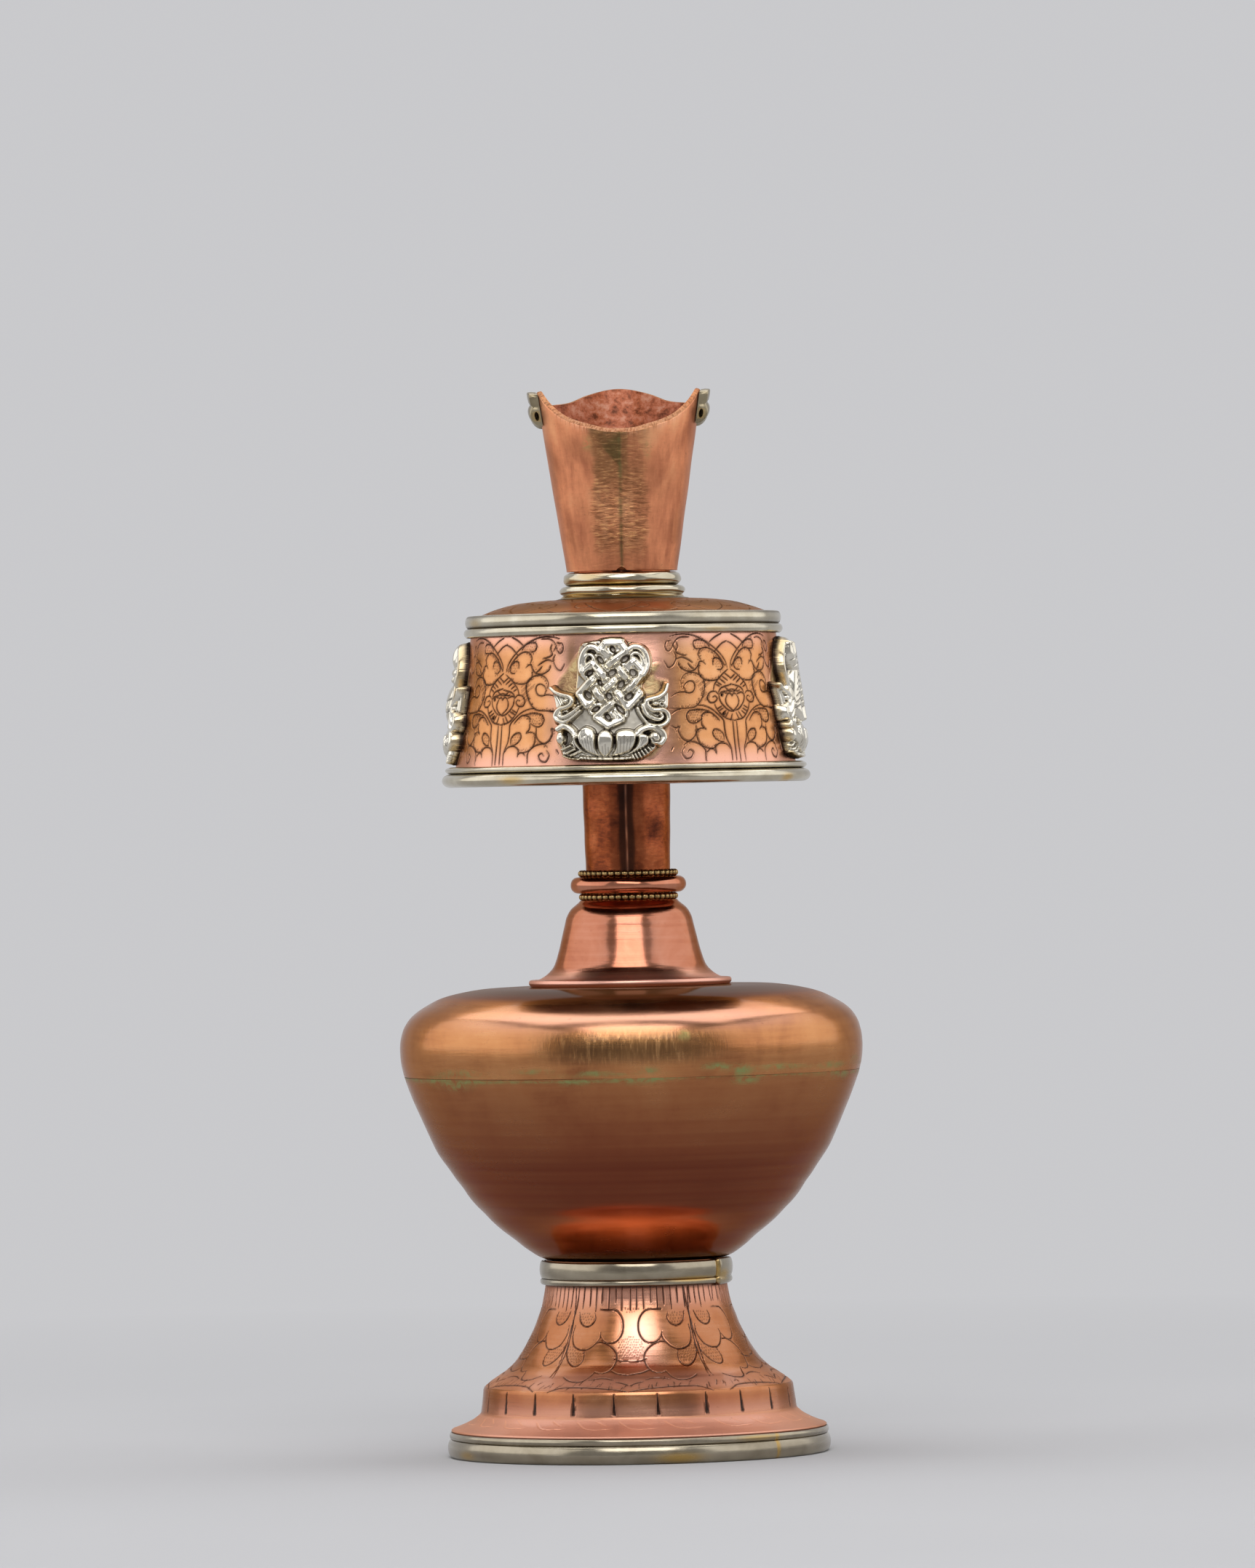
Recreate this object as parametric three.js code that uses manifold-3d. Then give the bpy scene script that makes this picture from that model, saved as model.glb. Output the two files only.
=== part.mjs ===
// A bumpa, the ritual water vase of Tibetan and Bhutanese altars: copper sheet raised, turned and
// soldered, with mouldings, mouth lugs and cast emblems of white metal and two rings of beaded wire.
// Millimetres, +Z up. The origin is the centre of the foot's resting ring and the front faces -Y.

import * as THREE from "three";
import { mergeVertices } from "three/addons/utils/BufferGeometryUtils.js";
import Module from "manifold-3d";

const wasm = await Module();
wasm.setup();

// Sheet, seats and facets
const sheet = 1.0; // thickness of the copper sheet
const fit = 0.25; // solder gap between a piece and the piece it is seated on
const bandBack = 0.45; // metal left behind the grooves of a moulded band
const overrun = 3; // how far a cutting body runs past what it cuts
const facets = 36; // facets round every turned piece
const beadFacets = 4; // facets up the half-round of a moulding

// Foot: a turned-down skirt, a sloping flange, an upright step and a concave flare
const footSkirtRadius = 34.5; // its edge is filed flush with the rim band, and both rest on the table
const footFlangeBase = 5.0; // height of the flange's outer corner
const footCornerRound = 0.6;
const footFlangeRise = 3.1;
const footStepRadius = 29.6;
const footStepHeight = 5.0;
const footStepTaper = 0.6;
const footStepRound = 0.7;
const footFlareHeight = 19.0;
const footTopRadius = 16.95;
const flareExponent = 2.1;

// White metal band round the foot's edge
const rimLowerHeight = 3.4;
const rimUpperHeight = 1.3;
const rimLowerStand = 0.75;
const rimUpperStand = 0.5;

// White metal band over the joint of foot and bowl
const waistLowerHeight = 1.1;
const waistUpperHeight = 3.3;
const waistLowerStand = 0.35;
const waistUpperStand = 0.45;

// Belly: a lower bowl and a shoulder, lapped and brazed just below the widest ring
const bellyRadius = 43.45;
const bowlHeight = 39.3; // from the bowl's base to the widest ring
const bowlBaseRadius = 17.3;
const seamDrop = 4.5; // the seam lies this far below the widest ring
const seamTongue = 3.0;
const shoulderHeight = 11.9; // from the widest ring to the plateau
const plateauRadius = 26;
const neckHoleRadius = 14.2;

// Neck cone, with the flange that sits on the plateau
const coneFlangeRadius = 19.0;
const coneFlangeEdge = 1.2;
const coneThroatRadius = 13.2;
const coneThroatHeight = 6.8;
const coneShoulderRadius = 11.8;
const coneShoulderHeight = 12.8;
const coneHeight = 16.0;
const coneCollarRadius = 9.4;
const coneTurnInShare = 0.4; // how far in the shoulder has come, one sheet below the top

// Rings round the foot of the neck tube
const beadWire = 1.3;
const beadCount = 36;
const beadWaistShare = 0.72;
const neckRingHeight = 3.1;
const neckRingStand = 2.75;
const neckRingCoreShare = 0.6; // share of its stand that lies behind the half-round

// Neck tube: slides into the cone and carries the drum, the collars and the cup
const tubeFootRadius = 7.75;
const tubeTopRadius = 9.15;
const tubeSocketDepth = 3.1;
const tubeToDrum = 16.0; // bare tube from the upper beaded wire to the drum's lower edge
const tubeInCup = 2.4;

// Drum: the engraved collar round the neck, open below
const drumFootRadius = 32.45;
const drumTopRadius = 28.25;
const drumWallHeight = 30.6;
const drumFootLower = 2.5;
const drumFootUpper = 1.3;
const drumTopLower = 1.7;
const drumTopUpper = 2.4;
const drumFootStand = 1.6;
const drumFootUpperStand = 1.2;
const drumTopStand = 0.7;
const drumTopEdge = 1.2; // height of the lid's upright edge inside the top band
const lidRise = 3.0;
const lidHubRadius = 12.6;
const drumTurn = THREE.MathUtils.degToRad(-5); // the emblems stand a little left of the front

// White metal collars between the drum and the cup
const lowerCollarHeight = 2.45;
const lowerCollarStand = 2.35;
const lowerCollarFoot = 0.7;
const upperCollarHeight = 2.5;
const upperCollarStand = 1.7;

// Mouth cup: a cone of sheet, cut low in front and humped behind, with a lug at each side
const cupFootRadius = 10.4;
const cupHeight = 30.6; // up to the highest part of the sheet before the rim is cut
const cupFlare = 8.6; // degrees
const lipHeight = 25.7; // the low point of the rim, in front
const lugTipHeight = 33.8;
const saddleHeight = 31.4; // the low points behind the lugs
const humpHeight = 34.8;
const saddleAngle = 62; // degrees from the back
const lugAngle = 90; // degrees from the front
const lipExponent = 1.15; // how the rim climbs from the lip to a lug
const saddleExponent = 1.5; // how it drops behind the lug
const rimSteps = 72;
const lugWidth = 7.0;
const lugPlate = 1.2;
const lugCurlRadius = 2.2;
const lugCurlSheet = 0.7;
const lugCurlDrop = 4.2; // from the lug's tip to the middle of its curl

// Emblems soldered to the drum wall
const emblemWidth = 22.3;
const emblemHeight = 23.2;
const emblemLift = 0.6; // above the drum's lower band
const emblemPlate = 0.9;
const symbolRelief = 2.3;
const lotusRelief = 2.9;
const lotusHeightShare = 0.3; // share of the emblem's height that its lotus base takes

// Outlines, as shares of the sizes that they follow
const bowlShares = [ // [share of the bowl's height, share of the belly's radius]
  [0.035, 0.422],
  [0.145, 0.571],
  [0.31, 0.712],
  [0.478, 0.819],
  [0.646, 0.896],
  [0.812, 0.963],
  [1, 1],
];
const shoulderShares = [ // [share of the shoulder's height, share of the belly's radius]
  [0, 1],
  [0.32, 0.988],
  [0.6, 0.94],
  [0.82, 0.84],
  [0.95, 0.72],
];
const coneShares = [ // between the flange and the throat: [share of the height, share of the radius]
  [0.13, 0.68],
  [0.32, 0.36],
  [0.58, 0.14],
];
const lidShares = [ // between the drum's edge and the hub: [share of the run, share of the rise]
  [0.12, 0.2],
  [0.35, 0.58],
  [0.65, 0.86],
];
const lotusShares = [ // [share of the emblem's width, share of its height]
  [-0.35, 0.04],
  [-0.45, 0.14],
  [-0.43, 0.27],
  [-0.3, 0.27],
  [-0.14, 0.31],
  [0.05, 0.26],
  [0.2, 0.3],
  [0.42, 0.27],
  [0.42, 0.1],
  [0.33, 0.02],
];
const knotPlateShares = [
  [-0.347, 0.04],
  [-0.451, 0.204],
  [-0.451, 0.352],
  [-0.492, 0.521],
  [-0.485, 0.627],
  [-0.414, 0.563],
  [-0.288, 0.542],
  [-0.236, 0.69],
  [-0.251, 0.852],
  [-0.191, 0.968],
  [-0.042, 1],
  [0.121, 0.996],
  [0.255, 0.951],
  [0.355, 0.838],
  [0.329, 0.676],
  [0.262, 0.592],
  [0.3, 0.511],
  [0.411, 0.521],
  [0.456, 0.641],
  [0.489, 0.592],
  [0.5, 0.359],
  [0.433, 0.232],
  [0.404, 0.092],
  [0.329, 0.0],
  [-0.042, 0.0],
];
const plainPlateShares = [
  [-0.347, 0.04],
  [-0.451, 0.204],
  [-0.43, 0.4],
  [-0.4, 0.62],
  [-0.3, 0.82],
  [-0.14, 0.95],
  [0, 1],
  [0.14, 0.95],
  [0.3, 0.82],
  [0.4, 0.62],
  [0.43, 0.4],
  [0.451, 0.204],
  [0.347, 0.04],
  [0, 0],
];
const knotBarShare = 0.075; // width of a strand of the knot, as a share of the emblem's height
const knotPitchShare = 0.13; // from one strand to the next
const knotCentreShares = [0.02, 0.62];
const knotLean = THREE.MathUtils.degToRad(-7);

// Heights of the stacked pieces
const footStepFoot = footFlangeBase + footFlangeRise;
const flareFoot = footStepFoot + footStepHeight;
const waistFoot = flareFoot + footFlareHeight;
const bowlFoot = waistFoot + waistLowerHeight + waistUpperHeight + fit;
const bellyHeight = bowlFoot + bowlHeight;
const seamHeight = bellyHeight - seamDrop;
const plateauHeight = bellyHeight + shoulderHeight;
const coneTop = plateauHeight + coneHeight;
const neckRingFoot = coneTop + beadWire;
const upperWireFoot = neckRingFoot + neckRingHeight;
const ringStackTop = upperWireFoot + beadWire;
const tubeFoot = coneTop - tubeSocketDepth;
const drumFoot = ringStackTop + tubeToDrum;
const wallFoot = drumFoot + fit;
const wallTop = wallFoot + drumWallHeight;
const lidEdgeTop = wallTop + drumTopEdge;
const hubHeight = wallTop + sheet + lidRise;
const upperCollarFoot = hubHeight + lowerCollarHeight;
const cupFoot = upperCollarFoot + upperCollarHeight + fit;
const tubeTop = cupFoot + tubeInCup;

// Radii that follow the tapered tube and the tapered drum wall
const along = (low, high, share) => low + (high - low) * share;
const tubeRadius = (z) =>
  along(tubeFootRadius, tubeTopRadius, (z - tubeFoot) / (tubeTop - tubeFoot));
const wallRadius = (z) =>
  along(drumFootRadius, drumTopRadius, (z - wallFoot) / (wallTop - wallFoot));
const cupRadius = (z) =>
  cupFootRadius + (z - cupFoot) * Math.tan(THREE.MathUtils.degToRad(cupFlare));

const copper = new THREE.MeshStandardMaterial({ color: 0xb5683f, metalness: 1, roughness: 0.3 });
const whiteMetal = new THREE.MeshStandardMaterial({ color: 0xc4bfa9, metalness: 1, roughness: 0.25 });
const brassWire = new THREE.MeshStandardMaterial({ color: 0x9a7a4a, metalness: 1, roughness: 0.4 });

const point = (r, z) => new THREE.Vector2(r, z);

// Twice the signed area that a closed loop of points goes round.
function turning(points) {
  return points.reduce((sum, p, i) => {
    const q = points[(i + 1) % points.length];
    return sum + p.x * q.y - q.x * p.y;
  }, 0);
}

// A turned solid: the closed profile is in radius and height, and the seam is at the front.
function turned(profile) {
  const loop = turning(profile) > 0 ? [...profile] : [...profile].reverse();
  const geometry = new THREE.LatheGeometry([...loop, loop[0].clone()], facets);
  return geometry.rotateX(Math.PI / 2);
}

// A turned solid with its two ends on the axis, from the outline of its outside and of its inside.
function turnedCup(outside, inside) {
  return new THREE.LatheGeometry([...outside, ...inside.reverse()], facets).rotateX(Math.PI / 2);
}

// The same outline, moved to its left by the sheet's thickness, with mitred corners and level ends.
function insideOf(outline, thickness) {
  return outline.map((p, i) => {
    const before = outline[Math.max(i - 1, 0)];
    const after = outline[Math.min(i + 1, outline.length - 1)];
    const a = p.clone().sub(before).normalize();
    const b = after.clone().sub(p).normalize();
    if (i === 0 || i === outline.length - 1) {
      const along = i === 0 ? b : a;
      const level = Math.abs(along.y) > Math.abs(along.x);
      return level ? point(p.x - thickness / along.y, p.y) : point(p.x, p.y + thickness / along.x);
    }
    const normal = point(-a.y - b.y, a.x + b.x).normalize();
    const mitre = normal.dot(point(-a.y, a.x));
    return p.clone().addScaledVector(normal, thickness / mitre);
  });
}

// Half-round mouldings one above the other, standing out from the radius base(z).
function mouldings(base, foot, ...beads) {
  const points = [point(base(foot), foot)];
  let z = foot;
  for (const { height, stand } of beads) {
    for (let i = 1; i <= beadFacets; i++) {
      const turn = (i / beadFacets) * Math.PI;
      const level = z + (height * (1 - Math.cos(turn))) / 2;
      points.push(point(base(level) + stand * Math.sin(turn), level));
    }
    z += height;
  }
  return points;
}

// A moulded band: a bore that follows the piece inside it, and its mouldings outside.
function band(bore, foot, ...beads) {
  const top = beads.reduce((z, bead) => z + bead.height, foot);
  const outside = mouldings((z) => bore(z) + bandBack, foot, ...beads);
  return turned([point(bore(foot), foot), ...outside, point(bore(top), top)]);
}

// Bodies for cutting and joining
function solid(geometry) {
  const bare = geometry.clone();
  bare.deleteAttribute("normal");
  bare.deleteAttribute("uv");
  const merged = mergeVertices(bare);
  return new wasm.Manifold(
    new wasm.Mesh({
      numProp: 3,
      vertProperties: merged.attributes.position.array,
      triVerts: new Uint32Array(merged.index.array),
    }),
  );
}

function geometryOf(body) {
  const made = body.getMesh();
  const geometry = new THREE.BufferGeometry();
  geometry.setAttribute("position", new THREE.BufferAttribute(made.vertProperties, 3));
  geometry.setIndex(new THREE.BufferAttribute(made.triVerts, 1));
  return geometry;
}

// A prism of an outline drawn as seen from the front, running through the front half of the vase.
function frontPrism(shape, reach) {
  const geometry = new THREE.ExtrudeGeometry(shape, { depth: reach, bevelEnabled: false });
  return solid(geometry.rotateX(Math.PI / 2));
}

// Foot
function footFlare(share) {
  const radius = footStepRadius - footStepTaper - footStepRound;
  return point(
    along(footTopRadius, radius, (1 - share) ** flareExponent),
    flareFoot + share * footFlareHeight,
  );
}

function footShell() {
  const flareSteps = 6;
  const outside = [
    point(footSkirtRadius, 0),
    point(footSkirtRadius, footFlangeBase - footCornerRound),
    point(footSkirtRadius - footCornerRound, footFlangeBase),
    point(footStepRadius, footStepFoot),
    point(footStepRadius - footStepTaper, flareFoot - footStepRound),
  ];
  for (let i = 0; i <= flareSteps; i++) outside.push(footFlare(i / flareSteps));
  outside.push(point(footTopRadius, bowlFoot));
  return turned([...outside, ...insideOf(outside, sheet).reverse()]);
}

function footRimBand() {
  return band(
    () => footSkirtRadius + fit,
    0,
    { height: rimLowerHeight, stand: rimLowerStand },
    { height: rimUpperHeight, stand: rimUpperStand },
  );
}

function waistBand() {
  return band(
    () => footTopRadius + fit,
    waistFoot,
    { height: waistLowerHeight, stand: waistLowerStand },
    { height: waistUpperHeight, stand: waistUpperStand },
  );
}

// Belly
const bowlCurve = new THREE.SplineCurve(
  bowlShares.map(([h, r]) => point(r * bellyRadius, bowlFoot + h * bowlHeight)),
);

// The point of the bowl's outer curve at a height, found by halving.
function bowlPointAt(z) {
  const halvings = 24;
  let low = 0;
  let high = 1;
  for (let i = 0; i < halvings; i++) {
    const middle = (low + high) / 2;
    if (bowlCurve.getPoint(middle).y < z) low = middle;
    else high = middle;
  }
  return { share: low, radius: bowlCurve.getPoint(low).x };
}

const seam = bowlPointAt(seamHeight);
const tongueRadius = seam.radius - sheet - fit;

function bowlLower() {
  const steps = 8;
  const wall = [];
  for (let i = 0; i <= steps; i++) wall.push(bowlCurve.getPoint((i / steps) * seam.share));
  const inner = insideOf(wall, sheet).slice(0, -1);
  const outside = [
    point(0, bowlFoot),
    point(bowlBaseRadius, bowlFoot),
    ...wall.slice(0, -1),
    point(seam.radius, seamHeight),
    point(tongueRadius, seamHeight),
    point(tongueRadius, seamHeight + seamTongue),
  ];
  const inside = [
    point(0, bowlFoot + sheet),
    point(bowlBaseRadius - sheet, bowlFoot + sheet),
    ...inner.slice(1),
    point(tongueRadius - sheet, seamHeight - sheet),
    point(tongueRadius - sheet, seamHeight + seamTongue),
  ];
  return turnedCup(outside, inside);
}

function shoulderUpper() {
  const turnIn = new THREE.SplineCurve([
    ...shoulderShares.map(([h, r]) => point(r * bellyRadius, bellyHeight + h * shoulderHeight)),
    point(plateauRadius, plateauHeight),
  ]).getPoints(8);
  const outside = [
    point(seam.radius, seamHeight),
    ...turnIn,
    point(neckHoleRadius, plateauHeight),
  ];
  return turned([...outside, ...insideOf(outside, sheet).reverse()]);
}

// Neck
function neckCone() {
  const flangeTop = plateauHeight + coneFlangeEdge;
  const throatTop = plateauHeight + coneThroatHeight;
  const outside = [
    point(neckHoleRadius + sheet + coneFlangeEdge, flangeTop),
    ...coneShares.map(([h, r]) =>
      point(along(coneThroatRadius, coneFlangeRadius, r), along(flangeTop, throatTop, h)),
    ),
    point(coneThroatRadius, throatTop),
    point(coneShoulderRadius, plateauHeight + coneShoulderHeight),
    point(along(coneShoulderRadius, coneCollarRadius, coneTurnInShare), coneTop - sheet),
    point(coneCollarRadius, coneTop),
    point(tubeRadius(coneTop) + fit, coneTop),
  ];
  const inner = insideOf(outside, sheet);
  const flange = [
    point(neckHoleRadius, plateauHeight),
    point(coneFlangeRadius - coneFlangeEdge / 4, plateauHeight),
    point(coneFlangeRadius, plateauHeight + coneFlangeEdge / 2),
    point(coneFlangeRadius - coneFlangeEdge / 2, flangeTop),
  ];
  return turned([...flange, ...outside.slice(1), ...inner.slice(1).reverse()]);
}

// A ring of wire pinched into beads. The wire has six sides, with an edge on top and underneath.
function beadedWire(foot) {
  const sides = 6;
  const half = beadWire / 2;
  const rings = beadCount * 2;
  const middle = tubeRadius(foot + beadWire) + fit + half;
  const positions = [];
  const index = [];
  for (let i = 0; i < rings; i++) {
    const turn = (i / rings) * 2 * Math.PI;
    const girth = i % 2 ? half * beadWaistShare : half;
    for (let j = 0; j < sides; j++) {
      const side = (j / sides) * 2 * Math.PI;
      const r = middle + girth * Math.sin(side);
      positions.push(r * Math.sin(turn), -r * Math.cos(turn), foot + half + girth * Math.cos(side));
      const a = i * sides + j;
      const b = i * sides + ((j + 1) % sides);
      const c = ((i + 1) % rings) * sides;
      index.push(a, b, c + j, b, c + ((j + 1) % sides), c + j);
    }
  }
  const geometry = new THREE.BufferGeometry();
  geometry.setAttribute("position", new THREE.Float32BufferAttribute(positions, 3));
  geometry.setIndex(index);
  return geometry;
}

function neckRing() {
  const bore = tubeRadius(upperWireFoot) + fit;
  const edge = neckRingStand * neckRingCoreShare;
  const outside = mouldings(() => bore + edge, neckRingFoot, {
    height: neckRingHeight,
    stand: neckRingStand - edge,
  });
  return turned([point(bore, neckRingFoot), ...outside, point(bore, upperWireFoot)]);
}

function neckTube() {
  const outside = [point(tubeFootRadius, tubeFoot), point(tubeTopRadius, tubeTop)];
  return turned([...outside, ...insideOf(outside, sheet).reverse()]);
}

// Drum
function drumWall() {
  const outside = [point(drumFootRadius, wallFoot), point(drumTopRadius, wallTop)];
  return turned([...outside, ...insideOf(outside, sheet).reverse()]);
}

function drumFootBand() {
  return band(
    (z) => wallRadius(z) + fit,
    drumFoot,
    { height: drumFootLower, stand: drumFootStand },
    { height: drumFootUpper, stand: drumFootUpperStand },
  );
}

const topBandFoot = lidEdgeTop - drumTopLower - drumTopUpper;

function drumTopBand() {
  return band(
    (z) => wallRadius(Math.min(z, wallTop)) + fit,
    topBandFoot,
    { height: drumTopLower, stand: drumTopStand },
    { height: drumTopUpper, stand: drumTopStand },
  );
}

function drumLid() {
  const outside = [
    point(drumTopRadius, wallTop),
    point(drumTopRadius, wallTop + sheet),
    ...lidShares.map(([run, rise]) =>
      point(along(drumTopRadius, lidHubRadius, run), wallTop + sheet + rise * lidRise),
    ),
    point(lidHubRadius, hubHeight),
    point(tubeRadius(hubHeight) + fit, hubHeight),
  ];
  const inner = outside.slice(2).map((p) => point(p.x, p.y - sheet));
  return turned([...outside, ...inner.reverse()]);
}

// Collars
function lowerCollar() {
  const bore = tubeRadius(upperCollarFoot) + fit;
  const edge = bore + lowerCollarStand - lowerCollarFoot;
  const foot = hubHeight + lowerCollarFoot;
  const outside = mouldings(() => edge, foot, {
    height: lowerCollarHeight - lowerCollarFoot,
    stand: lowerCollarFoot,
  });
  return turned([
    point(bore, hubHeight),
    point(Math.min(edge + lowerCollarFoot, lidHubRadius), hubHeight),
    ...outside,
    point(bore, upperCollarFoot),
  ]);
}

function upperCollar() {
  const top = upperCollarFoot + upperCollarHeight;
  const bore = tubeRadius(top) + fit;
  const edge = bore + upperCollarStand / 2;
  const outside = mouldings(() => edge, upperCollarFoot, {
    height: upperCollarHeight,
    stand: upperCollarStand / 2,
  });
  return turned([point(bore, upperCollarFoot), ...outside, point(bore, top)]);
}

// Height of the cup's rim above its foot, by the angle from the front.
function rimHeight(turn) {
  const front = THREE.MathUtils.radToDeg(Math.abs(turn));
  const slope = 1 - Math.cos(THREE.MathUtils.degToRad(Math.min(front, lugAngle)));
  if (front <= lugAngle) return along(lipHeight, lugTipHeight, slope ** lipExponent);
  const back = 180 - front;
  if (back < saddleAngle) {
    const swell = (1 + Math.cos((Math.PI * back) / saddleAngle)) / 2;
    return along(saddleHeight, humpHeight, swell);
  }
  const share = (back - saddleAngle) / (180 - lugAngle - saddleAngle);
  return along(saddleHeight, lugTipHeight, share ** saddleExponent);
}

// Everything above the cup's rim, as one body to cut with.
function aboveRim() {
  const reach = cupRadius(cupFoot + humpHeight) + lugCurlRadius + overrun;
  const ceiling = cupFoot + humpHeight + overrun;
  const positions = [];
  const index = [];
  for (let i = 0; i < rimSteps; i++) {
    const turn = (i / rimSteps) * 2 * Math.PI;
    const z = cupFoot + rimHeight(turn > Math.PI ? turn - 2 * Math.PI : turn);
    const x = Math.sin(turn);
    const y = -Math.cos(turn);
    for (const [r, level] of [[overrun, z], [reach, z], [reach, ceiling], [overrun, ceiling]])
      positions.push(r * x, r * y, level);
    for (let j = 0; j < 4; j++) {
      const a = i * 4 + j;
      const b = i * 4 + ((j + 1) % 4);
      const c = ((i + 1) % rimSteps) * 4;
      index.push(a, c + j, b, b, c + j, c + ((j + 1) % 4));
    }
  }
  const geometry = new THREE.BufferGeometry();
  geometry.setAttribute("position", new THREE.Float32BufferAttribute(positions, 3));
  geometry.setIndex(index);
  return solid(geometry);
}

const rimCutter = aboveRim();

function mouthCup() {
  const top = cupFoot + humpHeight + overrun / 2;
  const outside = [point(cupFootRadius, cupFoot), point(cupRadius(top), top)];
  const blank = solid(turned([...outside, ...insideOf(outside, sheet).reverse()]));
  return geometryOf(blank.subtract(rimCutter));
}

// A mouth lug: a plate on the cup's outside that curls outward and back to the wall.
function mouthLug(side) {
  const tip = cupFoot + lugTipHeight;
  const middle = tip - lugCurlDrop;
  const back = (z) => cupRadius(z) + fit;
  const curlSteps = 6;
  const profile = [
    point(back(tip + overrun), tip + overrun),
    point(back(tip + overrun) + lugPlate, tip + overrun),
  ];
  const arc = (radius, from, to) => {
    for (let i = 0; i <= curlSteps; i++) {
      const turn = along(from, to, i / curlSteps);
      const z = middle + radius * Math.sin(turn);
      profile.push(point(back(middle) + radius * Math.cos(turn), z));
    }
  };
  const inner = lugCurlRadius - lugCurlSheet;
  arc(lugCurlRadius, Math.PI / 4, -Math.PI / 2.4);
  arc(inner, -Math.PI / 2.4, Math.PI / 2);
  const ring = solid(turned(profile));
  const reach = cupRadius(tip) * 2;
  const wedge = solid(
    new THREE.BoxGeometry(reach, lugWidth, reach).translate((side * reach) / 2, 0, middle),
  );
  return geometryOf(ring.intersect(wedge).subtract(rimCutter));
}

// Emblems
const footBandTop = drumFoot + drumFootLower + drumFootUpper;
const emblemFoot = footBandTop + emblemLift;

// A layer of metal over the drum's wall: an even sheet, or the half-round bulge of a lotus base.
function emblemLayer(thickness, domed) {
  const foot = footBandTop;
  const top = topBandFoot;
  const back = (z) => wallRadius(z) + fit;
  if (!domed)
    return solid(
      turned([
        point(back(foot), foot),
        point(back(foot) + thickness, foot),
        point(back(top) + thickness, top),
        point(back(top), top),
      ]),
    );
  const height = emblemHeight * lotusHeightShare;
  return solid(turned(mouldings(back, emblemFoot, { height, stand: thickness })));
}

function emblemPoint([u, v]) {
  return point(u * emblemWidth, emblemFoot + v * emblemHeight);
}

function emblemBody(outlineShares, symbol) {
  const reach = drumFootRadius + lotusRelief + overrun;
  const cut = (layer, shape) => layer.intersect(frontPrism(shape, reach));
  const outline = new THREE.Shape(outlineShares.map(emblemPoint));
  const lotus = new THREE.Shape(lotusShares.map(emblemPoint));
  let body = cut(emblemLayer(emblemPlate, false), outline);
  body = body.add(cut(emblemLayer(lotusRelief, true), lotus));
  for (const shape of symbol) body = body.add(cut(emblemLayer(symbolRelief, false), shape));
  return geometryOf(body);
}

// A strip of the endless knot between two lattice points, both in strand pitches from its centre.
function knotStrip([a0, b0], [a1, b1]) {
  const half = (knotBarShare * emblemHeight) / 2;
  const pitch = knotPitchShare * emblemHeight;
  const centre = emblemPoint(knotCentreShares);
  const place = (a, b) => {
    const flat = point((a - b) * pitch, (a + b) * pitch).multiplyScalar(Math.SQRT1_2);
    return flat.rotateAround(point(0, 0), knotLean).add(centre);
  };
  const from = place(a0, b0);
  const to = place(a1, b1);
  const ahead = to.clone().sub(from).setLength(half);
  const aside = point(-ahead.y, ahead.x);
  return new THREE.Shape([
    from.clone().sub(ahead).sub(aside),
    to.clone().add(ahead).sub(aside),
    to.clone().add(ahead).add(aside),
    from.clone().sub(ahead).add(aside),
  ]);
}

// The endless knot: strands both ways across, joined by loops round its four sides.
function knotSymbol() {
  const strips = [];
  for (const line of [-1.5, -0.5, 0.5, 1.5]) {
    const reach = Math.abs(line) > 1 ? 1.5 : 2.5;
    strips.push(knotStrip([line, -reach], [line, reach]));
    strips.push(knotStrip([-reach, line], [reach, line]));
  }
  for (const end of [-2.5, 2.5]) {
    strips.push(knotStrip([-0.5, end], [0.5, end]));
    strips.push(knotStrip([end, -0.5], [end, 0.5]));
  }
  return strips;
}

// A closed smooth shape through points given as shares of the emblem.
function blob(shares) {
  const curve = new THREE.CatmullRomCurve3(
    shares.map((share) => new THREE.Vector3(emblemPoint(share).x, emblemPoint(share).y, 0)),
    true,
  );
  return new THREE.Shape(curve.getPoints(shares.length * 2).map((p) => point(p.x, p.y)));
}

const mirrored = (shares) => shares.map(([u, v]) => [-u, v]);

const fishShares = [
  [-0.16, 0.34],
  [-0.22, 0.5],
  [-0.1, 0.7],
  [0.1, 0.86],
  [0.24, 0.92],
  [0.2, 0.76],
  [0.06, 0.6],
  [-0.02, 0.42],
];
const vaseShares = [
  [-0.12, 0.3],
  [-0.28, 0.5],
  [-0.2, 0.64],
  [-0.08, 0.72],
  [-0.14, 0.84],
  [0, 0.96],
  [0.14, 0.84],
  [0.08, 0.72],
  [0.2, 0.64],
  [0.28, 0.5],
  [0.12, 0.3],
];
const wheelRadiusShare = 0.3;
const wheelRimShare = 0.07;
const wheelCentreShares = [0, 0.62];

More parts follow.
